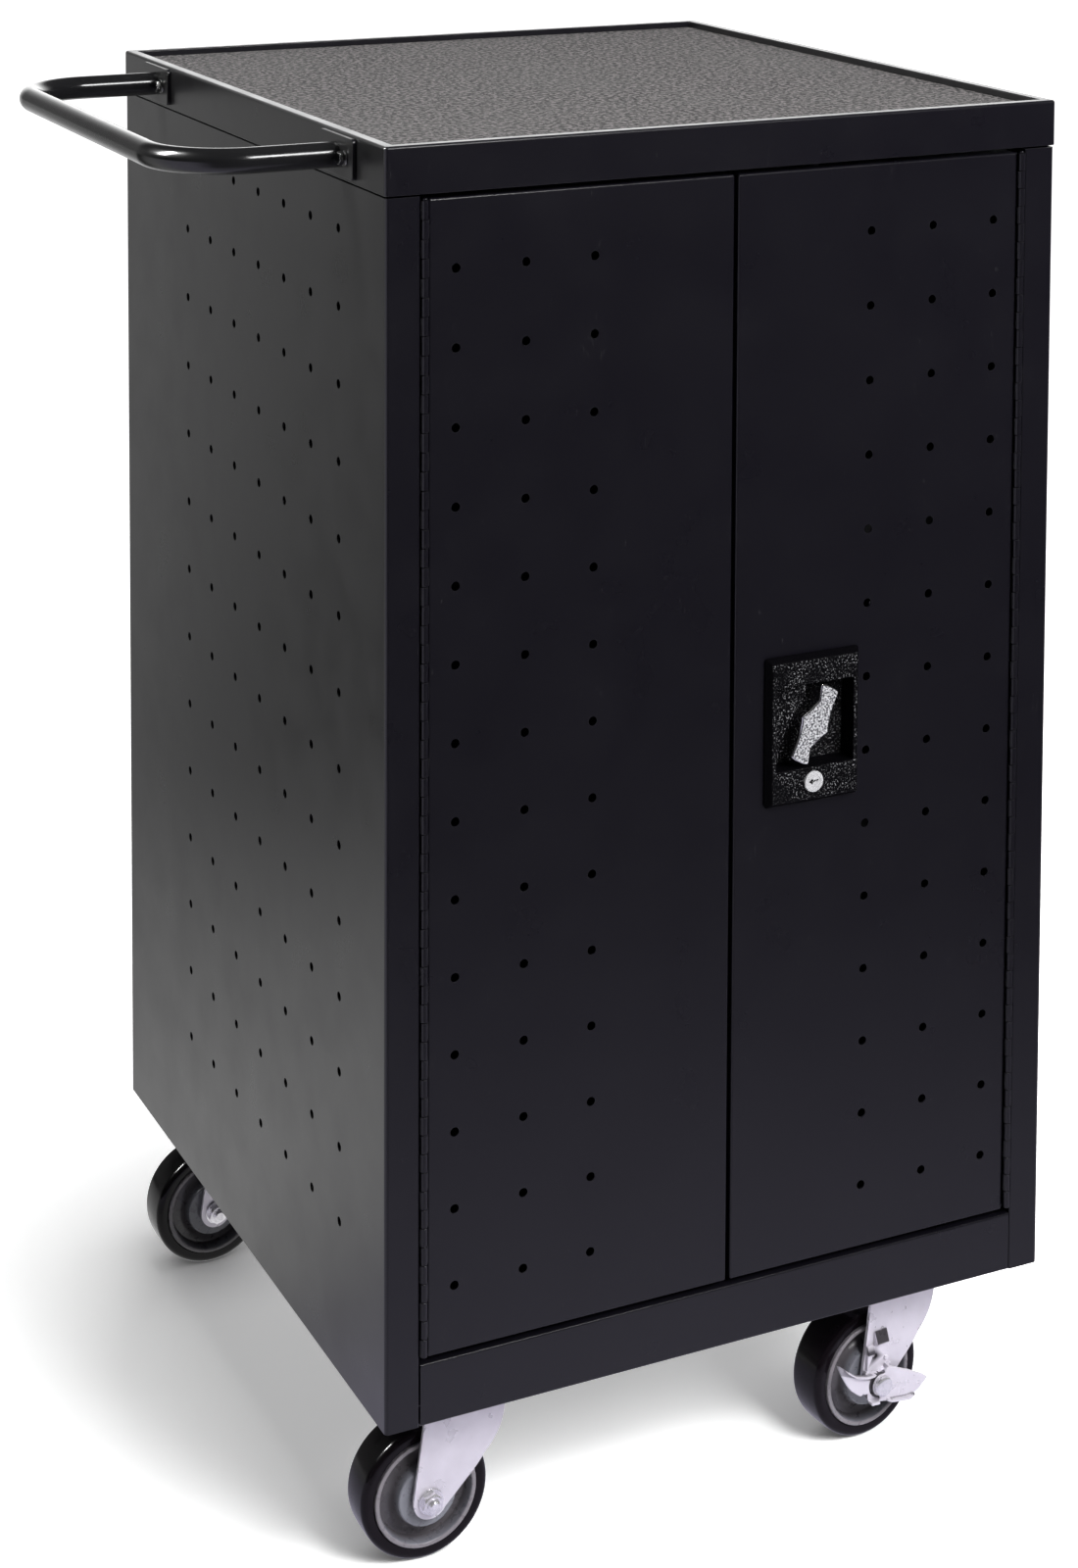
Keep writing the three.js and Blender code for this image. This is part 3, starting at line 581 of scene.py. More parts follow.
def bottom_rail():
    low, high = cad("bottom_rail")
    bend = 1.6
    outside = [(high.y, low.z)] + arc(bend, low.z + bend, bend, 270, 180, 5)
    outside += arc(bend, high.z - bend, bend, 180, 90, 5) + [(high.y, high.z), (high.y, high.z - SHEET)]
    inside = arc(bend, high.z - bend, bend - SHEET, 90, 180, 5)
    inside += arc(bend, low.z + bend, bend - SHEET, 180, 270, 5) + [(high.y, low.z + SHEET)]
    rail = prism(outside + inside, "X", low.x, high.x)
    rod_x, rod_y = rod_line("lower_latch_rod")
    return cut(rail, cylinder(ROD_HOLE_R, "Z", high.z - 4, high.z + 2, (rod_x, rod_y, 0)))


def rod_line(node):
    low, high = cad(node)
    return (low.x + high.x) / 2, (low.y + high.y) / 2


def back_panel():
    low, high = cad("back_panel")
    stations = [(0.3, high.y), (0, high.y - 0.3), (0, high.y - 0.9), (0.3, high.y - SHEET)]
    sheet = stepped_block(low.x, high.x, low.z, high.z, stations, "Y", 1.5)
    return fuse(sheet, block((low.x, low.y, high.z - SHEET), (high.x, high.y - 0.6, high.z)))


def open_tray(node, wall_up):
    """A shallow sheet pan with its walls turned up, or a shelf with its walls turned down."""
    low, high = cad(node)
    face, rim = (low.z, high.z) if wall_up else (high.z, low.z)
    out = 1 if wall_up else -1
    stations = [(1.8, face), (0.5, face + out * 0.5), (0, face + out * 1.8), (0, rim - out * 0.3),
                (0.3, rim), (SHEET - 0.3, rim), (SHEET, rim - out * 0.3), (SHEET, face + out * 1.8),
                (2.0, face + out * SHEET)]
    return stepped_block(low.x, high.x, low.y, high.y, stations, "Z", 2.5)


def top_frame():
    low, high = cad("top_frame")
    wall, flange = 1.5, 22.5
    stations = [(flange, low.z), (1.2, low.z), (0.3, low.z + 0.4), (0, low.z + 1.2), (0, high.z),
                (wall, high.z), (wall, low.z + wall), (flange, low.z + wall)]
    ring = stepped_block(low.x, high.x, low.y, high.y, stations, "Z", 2.5, closed=True)
    rod_x, rod_y = rod_line("upper_latch_rod")
    return cut(ring, cylinder(ROD_HOLE_R, "Z", low.z - 2, low.z + 4, (rod_x, rod_y, 0)))


HEM = 9.5
RIM_BEND = 2.2


def top_tray():
    low, high = cad("top_tray")
    deck = high.z - 8
    stations = [(HEM, deck)]
    stations += [(HEM - 1.2 + x, high.z - 1.2 + z) for x, z in arc(0, 0, 1.2, 0, 90, 4)]
    stations += [(RIM_BEND + x, high.z - RIM_BEND + z) for x, z in arc(0, 0, RIM_BEND, 90, 180, 7)]
    stations += [(0, low.z + 0.3), (0.3, low.z), (SHEET - 0.3, low.z), (SHEET, low.z + 0.3)]
    stations += [(SHEET, high.z - 2.4), (2.4, high.z - SHEET), (HEM - SHEET, high.z - SHEET)]
    stations += [(HEM - SHEET, deck - SHEET)]
    return stepped_block(low.x, high.x, low.y, high.y, stations, "Z", 3.0)


def mat_sheet():
    """The mat's top is a fine grid with the small lumps of a pressed granule sheet."""
    low, high = cad("tray_mat")
    step = 2.5
    columns = round((high.x - low.x) / step)
    rows = round((high.y - low.y) / step)
    bm = bmesh.new()
    bmesh.ops.create_grid(bm, x_segments=columns, y_segments=rows, size=0.5)
    for vert in bm.verts:
        x = low.x + (vert.co.x + 0.5) * (high.x - low.x)
        y = low.y + (vert.co.y + 0.5) * (high.y - low.y)
        edge = min(x - low.x, high.x - x, y - low.y, high.y - y)
        lump = noise.noise(Vector((x, y, 0)) / 5) + 0.6 * noise.noise(Vector((x, y, 9)) / 2.4)
        drop = 0.35 if edge < 0.1 else 0.18
        vert.co = Vector((x, y, high.z - drop + 0.16 * lump))
    rim = [edge for edge in bm.edges if edge.is_boundary]
    skirt = bmesh.ops.extrude_edge_only(bm, edges=rim)["geom"]
    for item in skirt:
        if isinstance(item, bmesh.types.BMVert):
            item.co.z = low.z
    bmesh.ops.contextual_create(bm, geom=[edge for edge in bm.edges if edge.is_boundary])
    bmesh.ops.recalc_face_normals(bm, faces=bm.faces)
    return bm


put("left_side_panel", side_sheet())
put("right_side_panel", mirrored(side_sheet()))
put("back_panel", back_panel())
put("bottom_rail", bottom_rail())
put("bottom_pan", open_tray("bottom_pan", True))
put("lower_shelf", open_tray("lower_shelf", False))
put("upper_shelf", open_tray("upper_shelf", False))
put("top_frame", top_frame())
put("top_tray", top_tray())
put("tray_mat", mat_sheet())

# ---------------------------------------------------------------- doors and hinges


def door_pan():
    low, high = cad("left_door")
    bend = 1.8
    front, back = low.y, high.y
    stations = [(bend + x, front + bend + y) for x, y in arc(0, 0, bend, 270, 180, 6)]
    stations += [(0, back - 0.3), (0.3, back), (SHEET - 0.3, back), (SHEET, back - 0.3)]
    stations += [(SHEET, front + bend), (bend, front + SHEET)]
    pan = stepped_block(low.x, high.x, low.z, high.z, stations, "Y", 1.6)
    return cut(pan, vent_cutters(DOOR_VENTS, "Y", front - 2, front + SHEET + 2))


def front_centre(name):
    """Where a joint of the lock is, seen from the front."""
    point = joint(name)
    return point.x, point.z


def right_door():
    x, z = front_centre("lever_turn")
    key_x, key_z = front_centre("key_turn")
    front = cad("left_door")[0].y
    low, high = cad("right_door")
    half_w, half_h = POCKET_HALF_W + 1.9, POCKET_HALF_H + 1.9
    tools = [
        block((x - half_w, front - 2, z - half_h), (x + half_w, front + 4, z + half_h)),
        cylinder(7.7, "Y", front - 2, front + 4, (key_x, 0, key_z)),
    ]
    for node, edge in (("upper_latch_rod", high.z), ("lower_latch_rod", low.z)):
        rod_x, rod_y = rod_line(node)
        tools.append(cylinder(3.7, "Z", edge - 4, edge + 4, (rod_x, rod_y, 0)))
    return cut(mirrored(door_pan()), *tools)


KNUCKLE_PITCH = 13.6
KNUCKLE_R = 2.7


def hinge_leaf(side, parity):
    """A leaf with every second knuckle of the hinge. side is the CAD leaf that it stands for."""
    low, high = cad(f"left_hinge_{side}")
    axis = joint("left_door_hinge")
    sheet_low, sheet_high = (low.x, low.x + SHEET) if parity == 0 else (high.x - SHEET, high.x)
    leaf = block((sheet_low, axis.y + KNUCKLE_R + 0.3, low.z), (sheet_high, high.y, high.z), 0.2)
    knuckles = []
    count = int((high.z - low.z) / KNUCKLE_PITCH)
    pitch = (high.z - low.z) / count
    for k in range(parity, count, 2):
        bottom = low.z + k * pitch + 0.2
        top = bottom + pitch - 0.4
        barrel = cylinder(KNUCKLE_R, "Z", bottom, top, (axis.x, axis.y, 0), 24, 0.25)
        wrap = block((sheet_low, axis.y - 0.6, bottom + 0.25),
                     (sheet_high, axis.y + KNUCKLE_R + 1, top - 0.25))
        knuckles.append(fuse(barrel, wrap))
    bore = cylinder(1.6, "Z", low.z - 1, high.z + 1, (axis.x, axis.y, 0), 16)
    return cut(fuse(leaf, gathered(knuckles)), bore)


def hinge_pin():
    low, high = cad("left_hinge_pin")
    axis = joint("left_door_hinge")
    profile = [(1.2, low.z), (1.2, high.z - 1.2), (1.9, high.z - 1.2), (2.0, high.z - 0.8),
               (1.7, high.z - 0.25), (0.9, high.z), (0.2, high.z)]
    return moved(turned(profile, "Z", 20), (axis.x, axis.y, 0))


POCKET_HALF_W = 33.5
POCKET_HALF_H = 32

put("left_door", door_pan())
put("right_door", right_door())
for side in ("left", "right"):
    flip = mirrored if side == "right" else (lambda bm: bm)
    put(f"{side}_hinge_frame_leaf", flip(hinge_leaf("frame_leaf", 0)))
    put(f"{side}_hinge_door_leaf", flip(hinge_leaf("door_leaf", 1)))
    put(f"{side}_hinge_pin", flip(hinge_pin()))

# ---------------------------------------------------------------- lock

PLATE_FACE = -6.0
LEDGE_Y = -1.0
WELL_FLOOR_Y = 11.0


def well_outline():
    """The deep part of the pocket, seen from the front. Its left edge curves down and out."""
    w, h = POCKET_HALF_W, POCKET_HALF_H
    points = [(w, h), (w, -h), (-w, -h)]
    points += curve((-w, -h), (-25, -2), (-12, 14), 8)[1:]
    points += curve((-12, 14), (-6, 22), (-4, h), 6)[1:]
    return points


def lock_plate():
    x, z = front_centre("lever_turn")
    low, high = cad("lock_plate")
    mid_x = (low.x + high.x) / 2
    plate_back = cad("left_door")[0].y - 0.3
    stations = [(0, plate_back), (0, plate_back - 0.8), (3.4, PLATE_FACE + 0.9), (3.9, PLATE_FACE + 0.3),
                (4.7, PLATE_FACE)]
    plate = stepped_block(low.x, high.x, low.z, high.z, stations, "Y", 3)
    w, h = POCKET_HALF_W + 1.5, POCKET_HALF_H + 1.5
    bucket = block((mid_x - w, PLATE_FACE + 2, z - h), (mid_x + w, high.y, z + h))
    ledge = block((x - w + 1.5, PLATE_FACE - 2, z - h + 1.5), (x + w - 1.5, LEDGE_Y, z + h - 1.5))
    well = moved(prism(well_outline(), "Y", PLATE_FACE - 3, WELL_FLOOR_Y), (x, 0, z))
    key_x, key_z = front_centre("key_turn")
    holes = [cylinder(5.3, "Y", 0, high.y + 2, (x, 0, z)),
             cylinder(7.3, "Y", PLATE_FACE - 2, 6, (key_x, 0, key_z))]
    shape = cut(fuse(plate, bucket), ledge, well, *holes)
    skin = recast(shape, 0.7, 1)
    for vert in skin.verts:
        grain = noise.noise(vert.co / 1.6) + 0.5 * noise.noise(vert.co / 0.8)
        vert.co += vert.normal * 0.07 * grain
    return skin


LEVER_HALF = [
    (5.5, 30.3), (9.8, 29.4), (13.8, 27.3), (17.4, 25.2), (20.6, 22.4), (14.5, 8.5), (11.7, -1.8),
    (11.2, -8.0), (6.6, -10.2), (3.4, -12.4), (0.9, -14.5), (-1.6, -16.2), (-3.7, -18.2),
]


def lock_lever():
    x, z = front_centre("lever_turn")
    low, high = cad("lock_lever")
    outline = LEVER_HALF + [(-u, -v) for u, v in LEVER_HALF]
    blade = softened(prism(outline, "Y", low.y, low.y + 4), 1.1, 1, 50)
    neck = turned([(7, low.y + 3.5), (6.2, 3.6), (4.9, 4.2), (4.9, high.y)], "Y", 32)
    return moved(fuse(blade, neck), (x, 0, z))


def lock_cylinder():
    x, z = front_centre("key_turn")
    low, high = cad("lock_cylinder")
    front = low.y
    profile = [(5.0, front + 0.3), (5.3, front + 0.3), (5.5, front), (7.3, front), (7.8, front + 0.25),
               (8.1, front + 0.8), (8.1, front + 1.3), (6.8, front + 1.5), (6.8, high.y)]
    plug = turned(profile, "Y", 48)
    keyway = [(-4.7, 0.2), (-1.4, 2.4), (-0.8, 1.1), (3.8, 1.5), (3.8, 0.1), (-0.8, -0.7), (-1.4, -2.0)]
    slotted = cut(plug, prism(keyway, "Y", front - 1, front + 4.4))
    # painted shade deep in the keyway
    dark_slot = mark_painted_shade(slotted, lambda point: point.y > front + 2 and math.hypot(point.x, point.z) < 6)
    return moved(dark_slot, (x, 0, z))


def lock_cam():
    x, z = front_centre("lever_turn")
    low, high = cad("lock_cam")
    thickness = 2
    arm = prism(arc(-10, 0, 4, 90, 270, 10) + arc(10, 0, 4, -90, 90, 10), "Y", low.y, low.y + thickness)
    bmesh.ops.rotate(arm, verts=arm.verts, cent=(0, 0, 0), matrix=Matrix.Rotation(math.radians(45), 3, "Y"))
    disc = cylinder(8.5, "Y", low.y, low.y + thickness, (0, 0, 0), 40)
    pins = [cylinder(1.75, "Y", low.y + 1, high.y, (s * 7.07, 0, -s * 7.07), 16) for s in (1, -1)]
    cam = cut(fuse(arm, disc, *pins), cylinder(5.2, "Y", low.y - 2, low.y + 3, (0, 0, 0), 32))
    return moved(softened(cam, 0.25, 1), (x, 0, z))


def latch_rod(node):
    low, high = cad(node)
    upper = node.startswith("upper")
    mid_x, mid_y = rod_line(node)
    plate_end = low.z if upper else high.z
    away = 1 if upper else -1
    tip = high.z if upper else low.z
    flat_low, flat_high = sorted((plate_end, plate_end + away * 32))
    plate = prism(rounded_rect(mid_x - 6, mid_x + 6, flat_low, flat_high, 3), "Y", mid_y - 1, mid_y + 1)
    start, end = sorted((plate_end + away * 28, tip))
    rod = cylinder(3, "Z", start, end, (mid_x, mid_y, 0), 24, 0.6)
    eye = plate_end + away * 5
    slot = rounded_rect(mid_x - 3.8, mid_x + 3.8, eye - 2.5, eye + 2.5, 2.4)
    return cut(fuse(rod, plate), prism(slot, "Y", mid_y - 3, mid_y + 3))


def rod_guide(node):
    low, high = cad(node)
    x, z = (low.x + high.x) / 2, (low.z + high.z) / 2
    rod_y = rod_line("upper_latch_rod")[1]
    body = stepped_block(low.x, high.x, low.z, high.z, [(0.5, low.y), (0, low.y + 0.5), (0, high.y - 0.5),
                                                       (0.5, high.y)], "Y", 2)
    waist = block((x - 7.5, low.y + 1.5, z - 12), (x + 7.5, low.y + 9, z + 12))
    return cut(body, waist, cylinder(3.35, "Z", z - 12, z + 12, (x, rod_y, 0), 24))


put("lock_plate", lock_plate(), sharp_angle=60)
put("lock_lever", lock_lever(), sharp_angle=50)
put("lock_cylinder", lock_cylinder(), look="key")
put("lock_cam", lock_cam())
for end in ("upper", "lower"):
    put(f"{end}_latch_rod", latch_rod(f"{end}_latch_rod"))
    put(f"{end}_rod_guide", rod_guide(f"{end}_rod_guide"))

# ---------------------------------------------------------------- push handle

TUBE_R = 9.525
TUBE_BEND = 58


def handle_tube():
    low, high = cad("push_handle")
    grip_x = low.x + TUBE_R
    front_y, rear_y = low.y + TUBE_R, high.y - TUBE_R
    z = (low.z + high.z) / 2
    line = [(high.x, front_y), (high.x - 1, front_y)]
    line += arc(grip_x + TUBE_BEND, front_y + TUBE_BEND, TUBE_BEND, 270, 180, 18)
    line += arc(grip_x + TUBE_BEND, rear_y - TUBE_BEND, TUBE_BEND, 180, 90, 18)
    line += [(high.x - 1, rear_y), (high.x, rear_y)]
    rings = []
    for i, (x, y) in enumerate(line):
        before, after = line[max(i - 1, 0)], line[min(i + 1, len(line) - 1)]
        along = Vector((after[0] - before[0], after[1] - before[1], 0)).normalized()
        side = Vector((-along.y, along.x, 0))
        ring = []
        for k in range(32):
            a = 2 * math.pi * k / 32
            ring.append(Vector((x, y, z)) + TUBE_R * (math.cos(a) * side + math.sin(a) * Vector((0, 0, 1))))
        rings.append(ring)
    return loft(rings)


def handle_plate(node):
    low, high = cad(node)
    stations = [(0, high.x), (0, low.x + 0.8), (0.25, low.x + 0.25), (0.9, low.x)]
    return stepped_block(low.y, high.y, low.z, high.z, stations, "X", 3.5)


def hexagon(radius, turn=0):
    return arc(0, 0, radius, turn, turn + 300, 5)


def hex_head(radius, axis, low, high, face, turn=0):
    """A hexagon whose corners are turned off on the face side. face is 1 for high or -1 for low."""
    chamfer = radius * 0.16
    ends = [(radius + 0.2, low), (radius + 0.2, high - chamfer), (radius - chamfer * 1.4, high)]
    if face < 0:
        ends = [(radius - chamfer * 1.4, low), (radius + 0.2, low + chamfer), (radius + 0.2, high)]
    return common(prism(hexagon(radius, turn), axis, low, high), turned(ends, axis, 48))


def handle_bolt(node):
    low, high = cad(node)
    y, z = (low.y + high.y) / 2, (low.z + high.z) / 2
    washer = turned([(5.6, high.x), (6, high.x - 0.3), (5.8, high.x - 0.9), (5.0, high.x - 1.3)], "X", 32)
    head = hex_head(5, "X", low.x, high.x - 0.8, -1, 12)
    return moved(fuse(washer, head), (0, y, z))


put("push_handle", handle_tube())
for end in ("front", "rear"):
    put(f"handle_plate_{end}", handle_plate(f"handle_plate_{end}"))
    for letter in "ab":
        put(f"handle_bolt_{end}_{letter}", handle_bolt(f"handle_bolt_{end}_{letter}"), look="black_steel")

# ---------------------------------------------------------------- casters
# Drawn about the axle: +X towards the swivel axis, +Y across, +Z up.

TRAIL = 39
WHEEL_R = 50.8
FORK_T = 2.8
FORK_HALF_W = 26
CROWN_Z = 115.8 - WHEEL_R
PLATE_TOP_Z = 133.7 - WHEEL_R


def caster_plate():
    top, bottom = PLATE_TOP_Z, PLATE_TOP_Z - 3
    stations = [(0.4, bottom), (0, bottom + 0.4), (0, top - 0.4), (0.4, top)]
    plate = moved(stepped_block(-46, 46, -33, 33, stations, "Z", 7), (TRAIL, 0, 0))
    race = [(19, bottom + 0.5), (27, bottom + 0.5), (27, bottom - 2), (25.8, bottom - 3.5),
            (25.8, bottom - 5), (26.2, bottom - 7), (25.4, bottom - 10), (24, CROWN_Z + 0.3)]
    bearing = moved(turned(race, "Z", 48), (TRAIL, 0, 0))
    kingpin = moved(turned([(6, CROWN_Z - 4), (6, bottom)], "Z", 32), (TRAIL, 0, 0))
    rivet = moved(turned([(5, 58.2), (8.6, 58.5), (9.8, 59.4), (10, 61.9)], "Z", 32), (TRAIL, 0, 0))
    bolts = []
    for h in (-36, 36):
        for y in (-25, 25):
            bolts.append(moved(hex_head(5.6, "Z", bottom - 4.5, bottom + 0.5, -1), (TRAIL + h, y, 0)))
    return fuse(plate, bearing, kingpin, rivet, *bolts)


def leg_outline():
    foot = 13.5
    points = [(-4, CROWN_Z), (-foot, 1)] + arc(0, -0.5, foot, 180, 331, 14)
    points += [(29, 10)] + curve((29, 10), (37, 17), (44, 27), 5)[1:]
    points += curve((44, 27), (60, 42), (60, CROWN_Z), 10)[1:]
    return points


def fork_section():
    """The bent fork seen along its heading: two legs under a crown."""
    w, t, bend = FORK_HALF_W, FORK_T, 4
    outside = [(w, -20)] + arc(w - bend, CROWN_Z - bend, bend, 0, 90, 6)
    outside += arc(bend - w, CROWN_Z - bend, bend, 90, 180, 6) + [(-w, -20), (t - w, -20)]
    inside = arc(bend - w, CROWN_Z - bend, bend - t, 180, 90, 4)
    inside += arc(w - bend, CROWN_Z - bend, bend - t, 90, 0, 4) + [(w - t, -20)]
    return outside + inside


def caster_fork():
    sheet = prism(fork_section(), "X", -20, 64)
    silhouette = prism(leg_outline(), "Y", -30, 30)
    fork = common(sheet, silhouette)
    bowl = [(30, CROWN_Z - FORK_T), (30, CROWN_Z - 0.5), (29.4, CROWN_Z)]
    crown = moved(turned(bowl, "Z", 56), (TRAIL, 0, 0))
    tools = [cylinder(6.6, "Z", CROWN_Z - 6, CROWN_Z + 3, (TRAIL, 0, 0)),
             cylinder(5.4, "Y", -30, 30)]
    return softened(cut(fuse(fork, crown), *tools), 0.35, 2)


def threaded(radius, start, end):
    """Profile of a bolt end between two heights, with a thread and a chamfered tip at start."""
    profile = [(radius - 1.6, start), (radius - 0.6, start + 1)]
    y = start + 1.2
    while y < end - 1.3:
        profile += [(radius, y), (radius - 0.55, y + 0.6)]
        y += 1.25
    return profile + [(radius, y)]


def caster_axle(braked):
    """Bolt head on the far side, nut or rivet head on the near side."""
    near = -FORK_HALF_W - 0.3
    far = FORK_HALF_W + 0.3
    brake_stack = BRAKE_T + PEDAL_DEPTH + 0.6
    shank = [(5, far + 0.7)]
    if braked:
        pivot = near - brake_stack
        bolt = turned([(5, pivot)] + shank, "Y", 32)
        dome = [(1.0, pivot - 3.9), (4.4, pivot - 3.8), (6.6, pivot - 3.5), (7.6, pivot - 2.8),
                (8, pivot - 1.6), (8, pivot)]
        ends = [turned(dome, "Y", 40)]
    else:
        bolt = turned(threaded(5, near - 9.6, near - 0.3) + shank, "Y", 32)
        washer = turned([(9.4, near - 1.2), (9.8, near - 0.9), (9.8, near - 0.1), (9.4, near)], "Y", 40)
        ends = [washer, hex_head(8.6, "Y", near - 6.5, near - 0.8, -1, 20)]
    spacer = cylinder(5.7, "Y", -FORK_HALF_W + FORK_T + 0.3, FORK_HALF_W - FORK_T - 0.3)
    head = hex_head(8.6, "Y", far, far + 6.2, 1, 8)
    return fuse(bolt, spacer, head, *ends)


def tyre_ring():
    half, shoulder = 16.5, 5
    side = [(40.9, half - 1.0), (41.6, half - 0.4), (WHEEL_R - shoulder - 0.4, half)]
    side += [(WHEEL_R - 0.4 - shoulder + x, half - shoulder + y)
             for x, y in arc(0, 0, shoulder, 84, 5, 9)]
    side += [(WHEEL_R - 0.08, 6)]
    other = [(radius, -y) for radius, y in reversed(side)]
    return turned(side + [(WHEEL_R, 0)] + other, "Y", 120, closed=True)


HUB_RING = (37.0, 40.4)
HUB_BOSS_R = 22.9


def wheel_hub():
    """A plastic hub with a proud outer ring, a deep dish and a proud boss. tone marks what is proud; the dish
    gets a painted shade.
    """
    inner, outer = HUB_RING
    half = [(6.1, 19.6), (6.6, 20), (HUB_BOSS_R - 0.8, 20), (HUB_BOSS_R, 19.4), (HUB_BOSS_R + 0.5, 18),
            (HUB_BOSS_R + 1.6, 13), (HUB_BOSS_R + 4, 10.4), (29, 9.2), (32.6, 8.4), (34.6, 8.6), (35.6, 9.8),
            (inner - 0.3, 16.6), (inner + 0.3, 17.5), (inner + 0.9, 17.8), (outer - 0.7, 17.8), (outer, 17.3)]
    other = [(radius, -y) for radius, y in reversed(half)]
    hub = turned(half + other, "Y", 96, closed=True)
    tone = hub.verts.layers.float.new("tone")
    for vert in hub.verts:
        radius = math.hypot(vert.co.x, vert.co.z)
        ring = min(max((radius - inner + 0.8) / 0.8, 0), 1)
        boss = min(max((HUB_BOSS_R + 1.2 - radius) / 0.8, 0), 1)
        vert[tone] = max(ring, 0.8 * boss)
    return hub


BRAKE_T = 2.2
BRAKE_OUTLINE = [(-12, -6), (6, -6), (10, 3), (12, 8), (12, 31), (11, 32), (-1, 32), (-3, 28), (-9, 28),
                 (-9.5, 12)]
RIDGE_OUTLINE = [(-13.5, 10.2), (-8, 7.2), (-1, 6.0), (6, 7.4), (12.5, 11.6), (11.6, 13.4), (5, 9.6),
                 (-1, 8.4), (-7, 9.4), (-12.6, 12.2)]


def brake_plate():
    face = -FORK_HALF_W - 0.3
    front = face - BRAKE_T
    plate = prism(BRAKE_OUTLINE, "Y", front, face)
    tab = prism([(face, 40), (face, 30), (front - 2.6, 30), (front - 2.6, 31.4), (front + 1, 40)],
                "X", -1.4, 10.2)
    step = prism([(face, 30), (face, 23.5), (front - 1.4, 23.5), (front - 1.4, 26), (front, 30)],
                 "X", -9.4, -3.2)
    ridge = prism(RIDGE_OUTLINE, "Y", front - 2.6, face - 1)
    rivet = moved(turned([(2.1, front), (2.1, front - 0.8), (1.5, front - 1.3), (0.5, front - 1.5)], "Y", 20),
                  (8.5, 0, 17))
    tools = [cylinder(5.4, "Y", front - 6, face + 2),
             cylinder(2.0, "Y", front - 3, face + 2, (-2, 0, 21), 20)]
    shape = softened(cut(fuse(plate, tab, step, ridge, rivet), *tools), 0.25, 2)

    # Painted shade on the tab's face, in the small hole and under the step.
    def in_painted_shade(point):
        on_tab = point.z > 31 and -1.3 < point.x < 10.1 and point.y < front + 1.5
        in_hole = math.hypot(point.x + 2, point.z - 21) < 2.3
        under_step = point.x < -3 and 22.8 < point.z < 26.4 and point.y < front - 1
        return 1.0 if on_tab or in_hole or under_step else 0.0

    return mark_painted_shade(shape, in_painted_shade)


LEFT_WING = [(-42, 26.3), (-39.4, 19.5), (-36, 13.2), (-32.6, 7.4), (-28.5, 2.2), (-22.6, -2.6), (-19, -5.2),
             (-16.5, -3.6), (-11.6, -10.5), (2, -12.4), (4, 4), (-5, 9.6), (-14, 10.2), (-25, 14),
             (-33, 19.6)]
RIGHT_WING = [(-2, -13), (3, -12.6), (9, -16), (28, -19.5), (40, -16.6), (50, -11), (45, -6.6), (37, -2),
              (27, 4), (16, 9.2), (7, 13.4), (-2, 7)]
PEDAL_DEPTH = 6.6
PIVOT_COLLAR_R = 8.6


def brake_pedal():
    """Two pressed wings about a pivot: the left one lies back, the right one stands forward of it."""
    back = -FORK_HALF_W - 0.6 - BRAKE_T
    front = back - PEDAL_DEPTH
    left = prism(LEFT_WING, "Y", front + 2.6, front + 4.4)
    right = prism(RIGHT_WING, "Y", front + 0.4, front + 2.2)
    apron = prism([(-2, -13), (7, 13.4), (9, 12.8), (9, -15.4)], "Y", front + 0.4, back - 0.4)
    collar = cylinder(PIVOT_COLLAR_R, "Y", front + 0.4, back, segments=40)
    top_flange = prism([(-38.6, 24.4), (-32.6, 18.0), (-25, 12.4), (-14, 8.6), (-5, 8.0), (-5, 9.6),
                        (-14, 10.2), (-25, 14), (-33, 19.6), (-40, 25.4)], "Y", front + 0.2, front + 4.2)
    low_flange = prism([(4, -13.6), (9, -16), (28, -19.5), (33, -18.4), (33, -16.2), (28, -17.2), (9, -13.7),
                        (5, -11.8)], "Y", front - 2.2, back - 0.8)
    foot = prism([(-11.6, -10.5), (-3, -11.8), (-3, -14), (-11.2, -13)], "Y", front - 1.6, front + 3)
    inner, outer = PIVOT_COLLAR_R, PIVOT_COLLAR_R + 2.2
    groove = turned([(inner, front - 3), (outer, front - 3), (outer, front + 3.6), (inner, front + 3.6)],
                    "Y", 40, closed=True)
    left_of_pivot = common(groove, block((-14, front - 4, -6), (3, front + 6, 14)))
    shape = cut(fuse(left, right, apron, collar, top_flange, low_flange, foot),
                left_of_pivot, cylinder(5.35, "Y", front - 3, back + 3, segments=32))
    skin = recast(shape, 0.45, 1)
    for vert in skin.verts:
        beyond = max(abs(vert.co.x) - 24, 0)
        vert.co.y += (0.16 if vert.co.x > 0 else 0.06) * beyond

    # Painted shade in the groove, at the lower left corner and at the low flange's end, and lighter painted
    # shade under the top flange and along the fold.
    def in_painted_shade(point):
        radius = math.hypot(point.x, point.z)
        on_collar = inner - 0.3 < radius < outer + 0.1
        in_groove = point.x < 3 and on_collar and point.y > front + 1
        under_flange = point.x < -8 and point.y > front + 1.6 and point.z > 7.2 - 0.42 * (point.x + 14)
        corner = point.x < -12.6 and point.z < -4.4
        fold = -13.2 - 0.15 * (point.x - 9)
        in_fold = 8 < point.x < 33 and abs(point.z - fold) < 0.5 and point.y < front + 2
        flange_end = point.x > 31.6 and point.z < -15.6 and point.y < front + 0.2
        return 1.0 if in_groove or corner or flange_end else 0.6 if under_flange or in_fold else 0.0

    return mark_painted_shade(skin, in_painted_shade)


